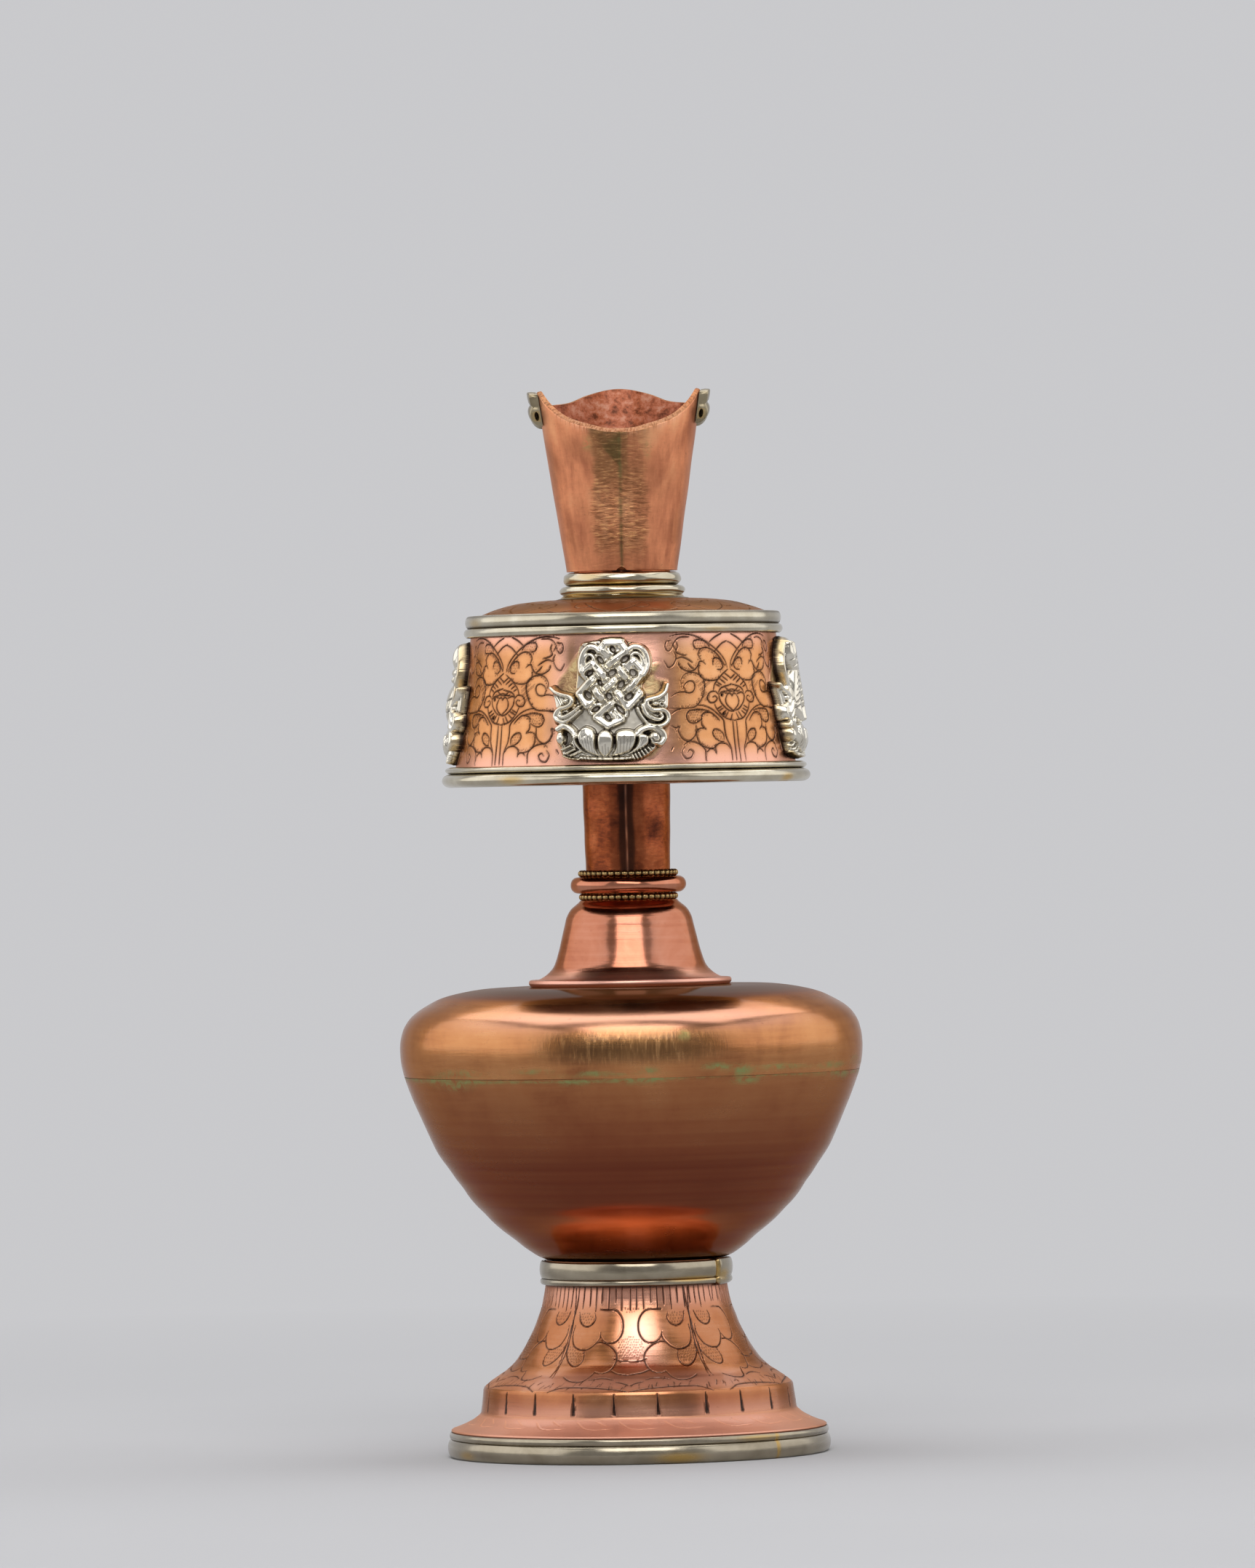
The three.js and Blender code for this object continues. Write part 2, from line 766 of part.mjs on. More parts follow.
function wheelSymbol() {
  const centre = emblemPoint(wheelCentreShares);
  const radius = wheelRadiusShare * emblemHeight;
  const width = wheelRimShare * emblemHeight;
  const rim = new THREE.Shape().absarc(centre.x, centre.y, radius, 0, 2 * Math.PI);
  rim.holes.push(new THREE.Path().absarc(centre.x, centre.y, radius - width, 0, 2 * Math.PI, true));
  const hub = new THREE.Shape().absarc(centre.x, centre.y, width, 0, 2 * Math.PI);
  const spokes = [0, 1, 2, 3].map((i) => {
    const turn = (i * Math.PI) / 4;
    const ends = [-radius + width / 2, radius - width / 2];
    const [from, to] = ends.map((r) =>
      point(r * Math.cos(turn), r * Math.sin(turn)).add(centre),
    );
    const aside = point(-Math.sin(turn), Math.cos(turn)).multiplyScalar(width / 4);
    return new THREE.Shape([
      from.clone().sub(aside),
      to.clone().sub(aside),
      to.clone().add(aside),
      from.clone().add(aside),
    ]);
  });
  return [rim, hub, ...spokes];
}

const vase = new THREE.Group();

function add(name, geometry, material, turn = 0) {
  const mesh = new THREE.Mesh(geometry, material);
  mesh.name = name;
  mesh.rotation.z = turn;
  vase.add(mesh);
}

add("foot_rim_band", footRimBand(), whiteMetal);
add("foot_shell", footShell(), copper);
add("waist_band", waistBand(), whiteMetal);
add("bowl_lower", bowlLower(), copper);
add("shoulder_upper", shoulderUpper(), copper);
add("neck_cone", neckCone(), copper);
add("lower_beaded_wire", beadedWire(coneTop), brassWire);
add("neck_ring", neckRing(), copper);
add("upper_beaded_wire", beadedWire(upperWireFoot), brassWire);
add("neck_tube", neckTube(), copper);
add("drum_wall", drumWall(), copper);
add("drum_lid", drumLid(), copper);
add("drum_foot_band", drumFootBand(), whiteMetal);
add("drum_top_band", drumTopBand(), whiteMetal);
add("lower_collar", lowerCollar(), whiteMetal);
add("upper_collar", upperCollar(), whiteMetal);
add("mouth_cup", mouthCup(), copper);
add("left_mouth_lug", mouthLug(-1), whiteMetal);
add("right_mouth_lug", mouthLug(1), whiteMetal);

const emblems = [
  ["front_knot_emblem", knotPlateShares, knotSymbol()],
  ["right_fish_emblem", plainPlateShares, [blob(fishShares), blob(mirrored(fishShares))]],
  ["back_wheel_emblem", plainPlateShares, wheelSymbol()],
  ["left_vase_emblem", plainPlateShares, [blob(vaseShares)]],
];
emblems.forEach(([name, outlineShares, symbol], i) => {
  const turn = drumTurn + (i / emblems.length) * 2 * Math.PI;
  add(name, emblemBody(outlineShares, symbol), whiteMetal, turn);
});

export default vase;
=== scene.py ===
"""The dressed bumpa: a copper altar vase with engraving, cast emblems and beaded wires.

Lengths in this file are millimetres until make() turns them into metres. Angles are counted from
the front of the vase, towards its right side as seen from the front. The profile of a turned piece
is a closed outline in radius and height that runs up its outside.
"""

import functools
import math

import bpy
import numpy as np
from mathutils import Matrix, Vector
from mathutils.geometry import tessellate_polygon


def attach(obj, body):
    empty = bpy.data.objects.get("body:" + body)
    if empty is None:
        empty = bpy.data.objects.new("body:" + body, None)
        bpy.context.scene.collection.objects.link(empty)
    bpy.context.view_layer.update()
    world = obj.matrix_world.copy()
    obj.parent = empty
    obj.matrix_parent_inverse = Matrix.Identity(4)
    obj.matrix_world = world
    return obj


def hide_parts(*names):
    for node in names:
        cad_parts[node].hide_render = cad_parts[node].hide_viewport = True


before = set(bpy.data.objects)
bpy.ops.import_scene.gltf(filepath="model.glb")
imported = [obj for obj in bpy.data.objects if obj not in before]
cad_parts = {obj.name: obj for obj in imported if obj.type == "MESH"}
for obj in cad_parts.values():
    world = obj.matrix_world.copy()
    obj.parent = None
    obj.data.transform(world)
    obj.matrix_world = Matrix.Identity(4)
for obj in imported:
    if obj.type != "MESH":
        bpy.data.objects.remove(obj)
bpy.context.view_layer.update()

MM = 0.001
TURN = 2 * math.pi
SHEET = 1.0  # thickness of the copper
FIT = 0.25  # gap between seated pieces, for the solder
FAR = 9.0  # a distance that counts as out of reach
scene = bpy.context.scene
rng = np.random.default_rng(7)


# Fields over rows and columns


def turn_of(columns, whole=TURN):
    return np.arange(columns) / columns * whole


def from_front(columns):
    """Degrees from the front at each column, below zero on its left."""
    return (turn_of(columns, 360) + 180) % 360 - 180


def bell(x, middle, width, power=2):
    """1 at the middle and nothing two widths away from it. A higher power makes its top flatter."""
    return np.exp(-(((x - middle) / width) ** power))


def rise(x, start, end):
    """0 before start and 1 beyond end, which may lie on either side of start."""
    return np.clip((x - start) / (end - start), 0, 1)


def step(x, sharpness):
    """1 well below zero and 0 well above it."""
    return 1 / (1 + np.exp(x * sharpness))


def most(*fields):
    return functools.reduce(np.maximum, fields)


def spots(profile, columns, marks):
    """Soft patches on a turned surface: degrees from the front, height, half width, half height, strength."""
    r, z = profile[:, :1], profile[:, 1:]
    total = np.zeros((len(profile), columns))
    for degrees, height, wide, tall, strength in marks:
        away = (turn_of(columns) - math.radians(degrees) + math.pi) % TURN - math.pi
        out = (away * r / wide) ** 2 + ((z - height) / tall) ** 2
        total = np.maximum(total, strength * np.exp(-(out**1.5)))
    return total


def waves(rows, columns, size, seed, turns=5):
    """A gentle unevenness over a turned surface, as hand work leaves it."""
    draw = np.random.default_rng(seed)
    u, v = turn_of(columns), np.arange(rows)[:, None] / rows
    total = np.zeros((rows, columns))
    for _ in range(7):
        k, m = draw.integers(1, turns + 1), draw.uniform(0.5, 4)
        a, b = draw.uniform(0, TURN, 2)
        total += np.sin(k * u + a) * np.sin(m * TURN * v + b)
    return total * size / 3


def spread(field, times):
    """A field blurred over its neighbours."""
    for _ in range(times):
        p = np.pad(field, 1, mode="edge")
        field = (p[:-2, 1:-1] + p[2:, 1:-1] + p[1:-1, :-2] + p[1:-1, 2:] + field) / 5
    return field


# Meshes


def make(name, co, faces, material, node, attributes, sharp=35):
    """A mesh object that stands for one CAD node. co is in mm; faces are arrays of quads or triangles."""
    mesh = bpy.data.meshes.new(name)
    mesh.vertices.add(len(co))
    mesh.vertices.foreach_set("co", (np.asarray(co) * MM).astype(np.float32).ravel())
    loops = np.concatenate([f.ravel() for f in faces]).astype(np.int32)
    sizes = np.concatenate([np.full(len(f), f.shape[1]) for f in faces])
    starts = np.concatenate([[0], np.cumsum(sizes)[:-1]]).astype(np.int32)
    mesh.loops.add(len(loops))
    mesh.loops.foreach_set("vertex_index", loops)
    mesh.polygons.add(len(sizes))
    mesh.polygons.foreach_set("loop_start", starts)
    mesh.update(calc_edges=True)
    for key, values in attributes.items():
        layer = mesh.attributes.new(key, "FLOAT", "POINT")
        layer.data.foreach_set("value", np.clip(values, 0, 1).astype(np.float32).ravel())
    mesh.shade_smooth()
    mesh.set_sharp_from_angle(angle=math.radians(sharp))
    mesh.materials.append(material)
    piece = bpy.data.objects.new(name, mesh)
    scene.collection.objects.link(piece)
    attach(piece, "root")
    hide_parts(node)


def tube_faces(rows, columns, around=True):
    """Quads of a grid that closes on itself across its columns and, if around, across its rows."""
    index = np.arange(rows * columns).reshape(rows, columns)
    right = np.roll(index, -1, axis=1)
    quads = np.stack([index, right, np.roll(right, -1, axis=0), np.roll(index, -1, axis=0)], axis=-1)
    return (quads if around else quads[:-1]).reshape(-1, 4)


def place_round(r, z, turn):
    """Points at a radius, a height and an angle."""
    return np.stack(np.broadcast_arrays(r * np.sin(turn), -r * np.cos(turn), z), axis=-1).reshape(-1, 3)


def turned(name, profile, lift, material, node, slot, around=True, **attributes):
    """A turned piece. lift, over rows and columns, moves each point along the profile's normal."""
    ahead = np.roll(profile, -1, axis=0) - np.roll(profile, 1, axis=0)
    out = ahead[:, ::-1] * [1, -1]
    out /= np.maximum(np.linalg.norm(out, axis=1, keepdims=True), 1e-9)
    r, z = (profile[:, n : n + 1] + lift * out[:, n : n + 1] for n in (0, 1))
    rows, columns = lift.shape
    attributes = {key: np.broadcast_to(values, lift.shape) for key, values in attributes.items()}
    co = place_round(r, z, turn_of(columns))
    make(name, co, [tube_faces(rows, columns, around)], material, node, attributes)


def straight(points, gap):
    """The same outline with points added along its straight runs."""
    points = np.asarray(points, float)
    out = [points[:1]]
    for a, b in zip(points[:-1], points[1:]):
        count = max(1, int(round(np.linalg.norm(b - a) / gap)))
        out.append(a + (b - a) * np.arange(1, count + 1)[:, None] / count)
    return np.concatenate(out)


def curve(points, gap, closed=False):
    """A smooth curve through points, sampled about every gap."""
    p = np.asarray(points, float)
    ends = (p[-1:], p[:2]) if closed else (2 * p[:1] - p[1:2], 2 * p[-1:] - p[-2:-1])
    p = np.concatenate([ends[0], p, ends[1]])
    out = []
    for a, b, c, d in zip(p[:-3], p[1:-2], p[2:-1], p[3:]):
        count = max(2, int(round(np.linalg.norm(c - b) / gap)))
        t = (np.arange(count) / count)[:, None]
        cubic = (2 * a - 5 * b + 4 * c - d) * t**2 + (3 * b - a - 3 * c + d) * t**3
        out.append(0.5 * (2 * b + (c - a) * t + cubic))
    if not closed:
        out.append(p[-2:-1])
    return np.concatenate(out)


def cone_radius(z, low, high):
    """Radius at a height on a straight cone through two points in radius and height."""
    return low[0] + (z - low[1]) * (high[0] - low[0]) / (high[1] - low[1])


def bead(base, foot, height, stand, count=18):
    """A half-round moulding that stands out from the radius base."""
    t = np.linspace(0, math.pi, count + 1)
    return np.stack([base + stand * np.sin(t), foot + height * (1 - np.cos(t)) / 2], axis=1)


def inward(outline):
    """The inside of the sheet, drawn from its outside outline, which runs upward."""
    out = np.gradient(outline, axis=0)[:, ::-1] * [1, -1]
    return outline - out / np.linalg.norm(out, axis=1, keepdims=True) * SHEET


# Engraving

CUT_WIDTH = 0.16
CUT_DEPTH = 0.12
PIT_WIDTH = 0.16
PIT_DEPTH = 0.05
COMB_GAP = 0.42
COMB_LENGTH = 0.65


class Engraving:
    """Distances to the engraved lines over the dense outside rows of a turned sheet.

    A line is a pair: the degrees and the heights of its points.
    """

    def __init__(self, outline, columns):
        self.r, self.z = outline.T
        self.columns = columns
        self.step = np.hypot(np.gradient(self.r), np.gradient(self.z))
        self.line, self.pit = np.full((2, len(outline), columns), FAR)

    def stamp(self, field, places, weight, reach):
        """Note the distance to each place, divided by its weight, in the cells within reach of it."""
        spacing = TURN / self.columns
        row = np.interp(places[:, 1], self.z, np.arange(len(self.z)))[:, None, None]
        column = (np.radians(places[:, 0]) / spacing)[:, None, None]
        far = int(math.ceil(reach / (spacing * self.r.min())))
        near = np.arange(-far, far + 1)
        rows = np.round(row).astype(int) + near[:, None]
        columns = np.round(column).astype(int) + near
        inside = (rows >= 0) & (rows < len(self.z))
        rows = np.clip(rows, 0, len(self.z) - 1)
        gap = np.hypot((rows - row) * self.step[rows], (columns - column) * spacing * self.r[rows])
        gap = np.where(inside, gap / np.reshape(weight, (-1, 1, 1)), FAR)
        np.minimum.at(field, (np.broadcast_to(rows, gap.shape), columns % self.columns), gap)

    def path(self, line, gap, closed=False):
        """The line as a smooth path in mm, and the mm in a degree."""
        degrees, z = line
        scale = math.radians(1) * np.interp(np.mean(z), self.z, self.r)
        return curve(np.stack([np.asarray(degrees) * scale, z], axis=1), gap, closed), scale

    def draw(self, line, weight=1.0, taper=0.45, wobble=0.0):
        """One cut, thinner towards its ends."""
        points, scale = self.path(line, 0.12)
        if wobble:
            points = points + rng.normal(0, wobble, 2)
        t = np.arange(len(points)) / (len(points) - 1)
        width = weight * (1 - taper + taper * np.sin(math.pi * t) ** 0.5)
        self.stamp(self.line, points / [scale, 1], width, 0.55)

    def stipple(self, line, gap, size, lines=False):
        """Punched dots, or fine hatching, inside a closed line."""
        area, scale = self.path(line, 0.3, closed=True)
        (left, low), (right, high) = area.min(0), area.max(0)
        along, slope, stray = (gap / 4, 0.7, 0.02) if lines else (gap, 0, 0.06)
        dots = np.array([
            (x + (n % 2) * gap / 2, y + (x - left) * slope)
            for n, y in enumerate(np.arange(low, high, gap))
            for x in np.arange(left, right, along)
        ])
        dots = dots[outline_distance(*dots.T, area) < 0]
        dots = dots + rng.normal(0, stray, dots.shape)
        self.stamp(self.pit, dots / [scale, 1], size, 0.5)

    def comb(self, line, side):
        """Short hatching cuts along one side of a line, longest at its middle."""
        path, scale = self.path(line, 0.1)
        travel = np.concatenate([[0], np.cumsum(np.hypot(*np.diff(path, axis=0).T))])
        for at in np.arange(COMB_GAP, travel[-1] - COMB_GAP, COMB_GAP):
            n = int(np.searchsorted(travel, at))
            run = path[min(n + 1, len(path) - 1)] - path[n - 1]
            run = run / max(np.hypot(*run), 1e-6)
            out = np.array([-run[1], run[0]]) * side + run * 0.5
            size = COMB_LENGTH * (0.55 + 0.45 * math.sin(math.pi * at / travel[-1])) * rng.uniform(0.8, 1.1)
            a, b = path[n] + out * 0.15, path[n] + out * size
            ends = np.stack([a, (a + b) / 2 + run * 0.04, b]) / [scale, 1]
            self.draw(ends.T, 0.32, 0.4)

    def depth(self, cut=CUT_DEPTH):
        """How far the cuts lower the sheet, and how dark they are."""
        groove = np.clip(1 - (self.line / CUT_WIDTH) ** 2, 0, 1)
        burr = bell(self.line, CUT_WIDTH * 1.5, 0.08) * 0.02
        pits = np.clip(1 - (self.pit / PIT_WIDTH) ** 2, 0, 1)
        dark = np.clip(np.clip(1.3 - self.line / CUT_WIDTH, 0, 1) + 0.6 * pits, 0, 1)
        return burr - groove * cut - pits * PIT_DEPTH, dark


def placed(line, axis, side=1, foot=0.0):
    """A line turned to an axis, mirrored where side is -1, and raised."""
    return axis + side * np.array(line[0], float), np.array(line[1], float) + foot


def outline_distance(x, y, outline):
    """Distance to a closed outline, below zero inside it."""
    best = np.full(x.shape, 99.0)
    odd = np.zeros(x.shape, bool)
    for a, b in zip(outline, np.roll(outline, -1, axis=0)):
        run = b - a
        t = np.clip(((x - a[0]) * run[0] + (y - a[1]) * run[1]) / max(run @ run, 1e-9), 0, 1)
        best = np.minimum(best, np.hypot(x - a[0] - t * run[0], y - a[1] - t * run[1]))
        if a[1] != b[1]:
            at = a[0] + (y - a[1]) / (b[1] - a[1]) * (b[0] - a[0])
            odd ^= ((a[1] > y) != (b[1] > y)) & (x < at)
    return np.where(odd, -best, best)


# Materials

LATHE = (60, 60, 2600)  # grain of marks that run round a turned piece
BRASSY = (0.78, 0.64, 0.36)
VERDIGRIS = (0.56, 0.60, 0.37)
# Colours that an attribute lays over the copper, from the lowest layer up. The first layer is partly a rosy
# tone and partly painted highlight, glow is a painted highlight, red also lays painted shade on the foot, and
# stain a painted dark reflection on the shoulder.
TINTS = {
    "pink": (0.90, 0.68, 0.60),
    "red": (0.46, 0.21, 0.11),
    "glow": (1.0, 0.62, 0.38),
    "worn": (0.93, 0.70, 0.56),
    "stain": (0.46, 0.34, 0.20),
}
# What an attribute adds to the copper's roughness.
DULLING = {"cut": 0.4, "stain": 0.08, "green": 0.25, "flux": 0.2, "worn": 0.25, "dull": 0.3, "inside": 0.15}


def srgb(colour):
    """A display colour as the linear colour that shaders take."""
    return [c / 12.92 if c <= 0.04045 else ((c + 0.055) / 1.055) ** 2.4 for c in colour] + [1.0]


class Shade:
    """A material built node by node round one Principled shader. Colours are display colours."""

    def __init__(self, name):
        self.material = bpy.data.materials.new(name)
        self.material.use_nodes = True
        self.nodes, self.links = self.material.node_tree.nodes, self.material.node_tree.links
        self.nodes.clear()
        self.bsdf = self.nodes.new("ShaderNodeBsdfPrincipled")
        self.out = self.nodes.new("ShaderNodeOutputMaterial")
        self.links.new(self.bsdf.outputs[0], self.out.inputs[0])
        self.coords = self.add("TexCoord", {}, "Object")

    def feed(self, node, inputs):
        """Set or link a node's inputs."""
        for key, value in inputs.items():
            if hasattr(value, "is_linked"):
                self.links.new(value, node.inputs[key])
            elif value is not None:
                node.inputs[key].default_value = value

    def add(self, kind, inputs, out=0, **settings):
        """The output of a new node."""
        node = self.nodes.new("ShaderNode" + kind)
        for key, value in settings.items():
            setattr(node, key, value)
        self.feed(node, inputs)
        return node.outputs[out]

    def math(self, kind, a, b):
        return self.add("Math", {0: a, 1: b}, operation=kind)

    def times(self, a, b):
        return self.math("MULTIPLY", a, b)

    def plus(self, a, b):
        return self.math("ADD", a, b)

    def noise(self, scale, detail, roughness, distortion=0.0):
        """Noise whose grain is 1/scale metres along each axis."""
        inputs = {
            "Vector": self.add("Mapping", {"Vector": self.coords, "Scale": scale}),
            "Scale": 1.0, "Detail": detail, "Roughness": roughness, "Distortion": distortion,
        }
        return self.add("TexNoise", inputs, "Fac")

    def ramp(self, value, low, high, colours):
        """Colours set evenly over the values from low to high."""
        node = self.nodes.new("ShaderNodeValToRGB")
        self.links.new(value, node.inputs[0])
        stops = node.color_ramp.elements
        while len(stops) < len(colours):
            stops.new(0.5)
        for stop, place, colour in zip(stops, np.linspace(low, high, len(colours)), colours):
            stop.position = place
            stop.color = srgb(colour)
        return node.outputs[0]

    def span(self, value, low, high, to_low=0.0, to_high=1.0):
        inputs = {"Value": value, "From Min": low, "From Max": high, "To Min": to_low, "To Max": to_high}
        return self.add("MapRange", inputs)

    def mix(self, share, a, b):
        """b laid over a. Either may be an output or a display colour."""
        a, b = (srgb(c) if isinstance(c, tuple) else c for c in (a, b))
        return self.add("Mix", {0: share, 6: a, 7: b}, 2, data_type="RGBA")

    def attribute(self, name):
        return self.add("Attribute", {}, "Fac", attribute_name=name)

    def bump(self, height, strength, distance, normal=None):
        inputs = {"Height": height, "Strength": strength, "Distance": distance, "Normal": normal}
        return self.add("Bump", inputs)

    def finish(self, colour, roughness, **others):
        inputs = {key.replace("_", " "): value for key, value in others.items()}
        self.feed(self.bsdf, {"Base Color": colour, "Roughness": roughness, **inputs})
        return self.material


def copper(name, tones, rough, grain=LATHE, scratch=0.25, blotch=110, metallic=1.0, coat=0.15, marks=None):
    """Tarnished copper: blotches between tones, streaks along the tool's path, dark cuts and stains, and the
    painted highlights and painted shade that some of its attributes lay on.
    """
    s = Shade(name)
    blotches = s.noise((blotch, blotch, blotch * 0.7), 6, 0.6, 0.4)
    streaks = s.noise(grain, 3, 0.6)
    fine = s.noise((1400, 1400, 1400), 4, 0.7)
    patchy = s.noise((420, 420, 520), 5, 0.7, 0.8)
    mottle = s.noise((480, 480, 560), 7, 0.72, 0.12)
    colour = s.ramp(s.plus(s.times(blotches, 0.75), s.times(streaks, 0.25)), 0.32, 0.68, tones)
    for layer, tint in TINTS.items():
        colour = s.mix(s.attribute(layer), colour, tint)
    colour = s.mix(s.times(s.attribute("green"), s.span(patchy, 0.38, 0.58)), colour, VERDIGRIS)
    colour = s.mix(s.times(s.span(fine, 0.62, 0.74), 0.35), colour, (0.42, 0.23, 0.15))
    mottled = s.ramp(mottle, 0.36, 0.64, [(0.40, 0.21, 0.13), (0.68, 0.39, 0.27), (0.76, 0.54, 0.44)])
    colour = s.mix(s.attribute("inside"), colour, mottled)
    crust = s.ramp(patchy, 0.35, 0.65, [(0.38, 0.27, 0.18), (0.66, 0.55, 0.38), (0.80, 0.72, 0.52)])
    flux = s.attribute("flux")
    colour = s.mix(flux, colour, crust)
    normal = s.bump(streaks, scratch, 0.00006)
    normal = s.bump(fine, 0.12, 0.00004, normal)
    normal = s.bump(s.times(patchy, flux), 0.8, 0.0003, normal)
    if marks:
        ripple, filed = s.noise(marks, 3, 0.6, 0.2), s.attribute("filed")
        low, high = s.span(ripple, 0.50, 0.40), s.span(ripple, 0.55, 0.66)
        colour = s.mix(s.times(s.times(low, filed), 0.5), colour, (0.34, 0.22, 0.12))
        colour = s.mix(s.times(s.times(high, filed), 0.6), colour, (0.95, 0.72, 0.48))
        normal = s.bump(s.times(ripple, filed), 0.7, 0.00022, normal)
    # The cut layer darkens engraved cuts, and on some pieces it lays painted shade and a painted shadow.
    colour = s.mix(s.attribute("cut"), colour, (0.15, 0.09, 0.065))
    roughness = s.span(s.plus(s.times(blotches, 0.6), s.times(streaks, 0.4)), 0.35, 0.65, *rough)
    for layer, amount in DULLING.items():
        roughness = s.plus(roughness, s.times(s.attribute(layer), amount))
    return s.finish(
        colour, roughness, Normal=normal, Metallic=metallic, Specular_Tint=srgb((0.84, 0.71, 0.62)),
        Coat_Weight=coat, Coat_Roughness=0.12, Coat_IOR=1.5,
    )


def white_metal(name, tones, rough, scratch=0.25, grain=(260, 260, 2200)):
    """Nickel silver: warm and bright, scratched, darkened in its hollows by tarnish and by painted shade, and
    brassy at the solder.
    """
    s = Shade(name)
    blotches = s.noise((160, 160, 160), 5, 0.6, 0.3)
    colour = s.mix(s.attribute("brass"), s.ramp(blotches, 0.3, 0.7, tones), BRASSY)
    colour = s.mix(s.attribute("cut"), colour, (0.25, 0.20, 0.17))
    roughness = s.span(blotches, 0.3, 0.7, *rough)
    for layer, amount in (("cut", 0.3), ("brass", 0.12), ("dull", 0.16)):
        roughness = s.plus(roughness, s.times(s.attribute(layer), amount))
    normal = s.bump(s.noise(grain, 3, 0.6), scratch, 0.00005)
    normal = s.bump(s.noise((1700, 1700, 1700), 4, 0.7), 0.06, 0.00003, normal)
    return s.finish(colour, roughness, Normal=normal, Metallic=1.0)


CUP_COPPER = copper(
    "cup_copper", [(0.70, 0.41, 0.29), (0.91, 0.59, 0.42), (0.97, 0.71, 0.52)],
    rough=(0.30, 0.42), grain=(620, 620, 110), scratch=0.5, blotch=85, metallic=0.85, marks=(561, 561, 2700),
)
TUBE_COPPER = copper(
    "tube_copper", [(0.34, 0.15, 0.09), (0.58, 0.29, 0.16), (0.68, 0.38, 0.23)],
    rough=(0.12, 0.24), grain=(700, 700, 1800), scratch=0.3, blotch=240,
)
CONE_COPPER = copper(
    "cone_copper", [(0.64, 0.38, 0.29), (0.74, 0.48, 0.37), (0.80, 0.56, 0.46)],
    rough=(0.11, 0.19), grain=(30, 30, 1500), scratch=0.5,
)
BELLY_COPPER = copper(
    "belly_copper", [(0.58, 0.35, 0.20), (0.72, 0.48, 0.29), (0.78, 0.55, 0.35)],
    rough=(0.17, 0.29), grain=(70, 70, 900), scratch=0.4, blotch=60, coat=0.35, marks=(2100, 2100, 260),
)
FOOT_COPPER = copper(
    "foot_copper", [(0.62, 0.38, 0.24), (0.72, 0.47, 0.30), (0.79, 0.56, 0.41)],
    rough=(0.17, 0.30), grain=(60, 60, 1500), scratch=0.35, coat=0.3,
)
DRUM_COPPER = copper(
    "drum_copper", [(0.72, 0.49, 0.31), (0.82, 0.58, 0.38), (0.87, 0.65, 0.46)],
    rough=(0.18, 0.30), grain=(200, 200, 900), scratch=0.35,
)
BAND_METAL = white_metal("band_metal", [(0.70, 0.66, 0.57), (0.82, 0.79, 0.71)], (0.11, 0.21))
# A darker copy of the band metal for the bands low on the foot: painted shade.
SHADED_BAND_METAL = white_metal("shaded_band_metal", [(0.60, 0.56, 0.48), (0.72, 0.68, 0.60)], (0.10, 0.19))
CAST_METAL = white_metal(
    "cast_metal", [(0.80, 0.77, 0.70), (0.92, 0.90, 0.85)], (0.09, 0.15), 0.05, (900, 900, 900)
)
LUG_METAL = white_metal(
    "lug_metal", [(0.52, 0.46, 0.36), (0.68, 0.64, 0.54)], (0.24, 0.38), 0.4, (1500, 1500, 300)
)
WIRE_METAL = copper(
    "bead_metal", [(0.50, 0.41, 0.26), (0.66, 0.55, 0.36), (0.74, 0.63, 0.43)], (0.18, 0.30), blotch=700
)


# Foot

FOOT_COLUMNS = 1080
FOOT_STEP = 0.18  # between the rows of its outside
FOOT_AXIS = -3.6  # degrees from the front to the middle of a drawing
UNITS = 5  # drawings round the flare
UNIT = 360 / UNITS
RAYS = 84  # straight cuts under the waist
FLUTES = 22  # fans of cuts on the step, with scores on the flange below
TICKS = 150  # short cuts along the step's upper edge
FOOT_TOP = (16.95, 36.6)
RIM_BORE = 34.75
FLARE = [
    (28.55, 13.3), (27.4, 14.2), (25.9, 15.2), (24.7, 16), (23.1, 17.55), (21.9, 19.2), (20.9, 20.8),
    (20, 22.5), (19.2, 24.2), (18.55, 25.9), (17.95, 27.5), (17.5, 29.2), (17.2, 30.8), (17, 32.2),
    (16.95, 33.5),
]
FOOT_FLANGE = [
    (35.1, 4.72), (35.25, 4.95), (35.05, 5.2), (34.2, 5.5), (32.6, 6.15), (31, 7), (29.9, 7.9), (29.62, 8.3),
]
FOOT_WALL = [(29.62, 8.3), (29.45, 9.5), (29.2, 11.5), (29.08, 12.5), (28.9, 13.0), (28.55, 13.3)]
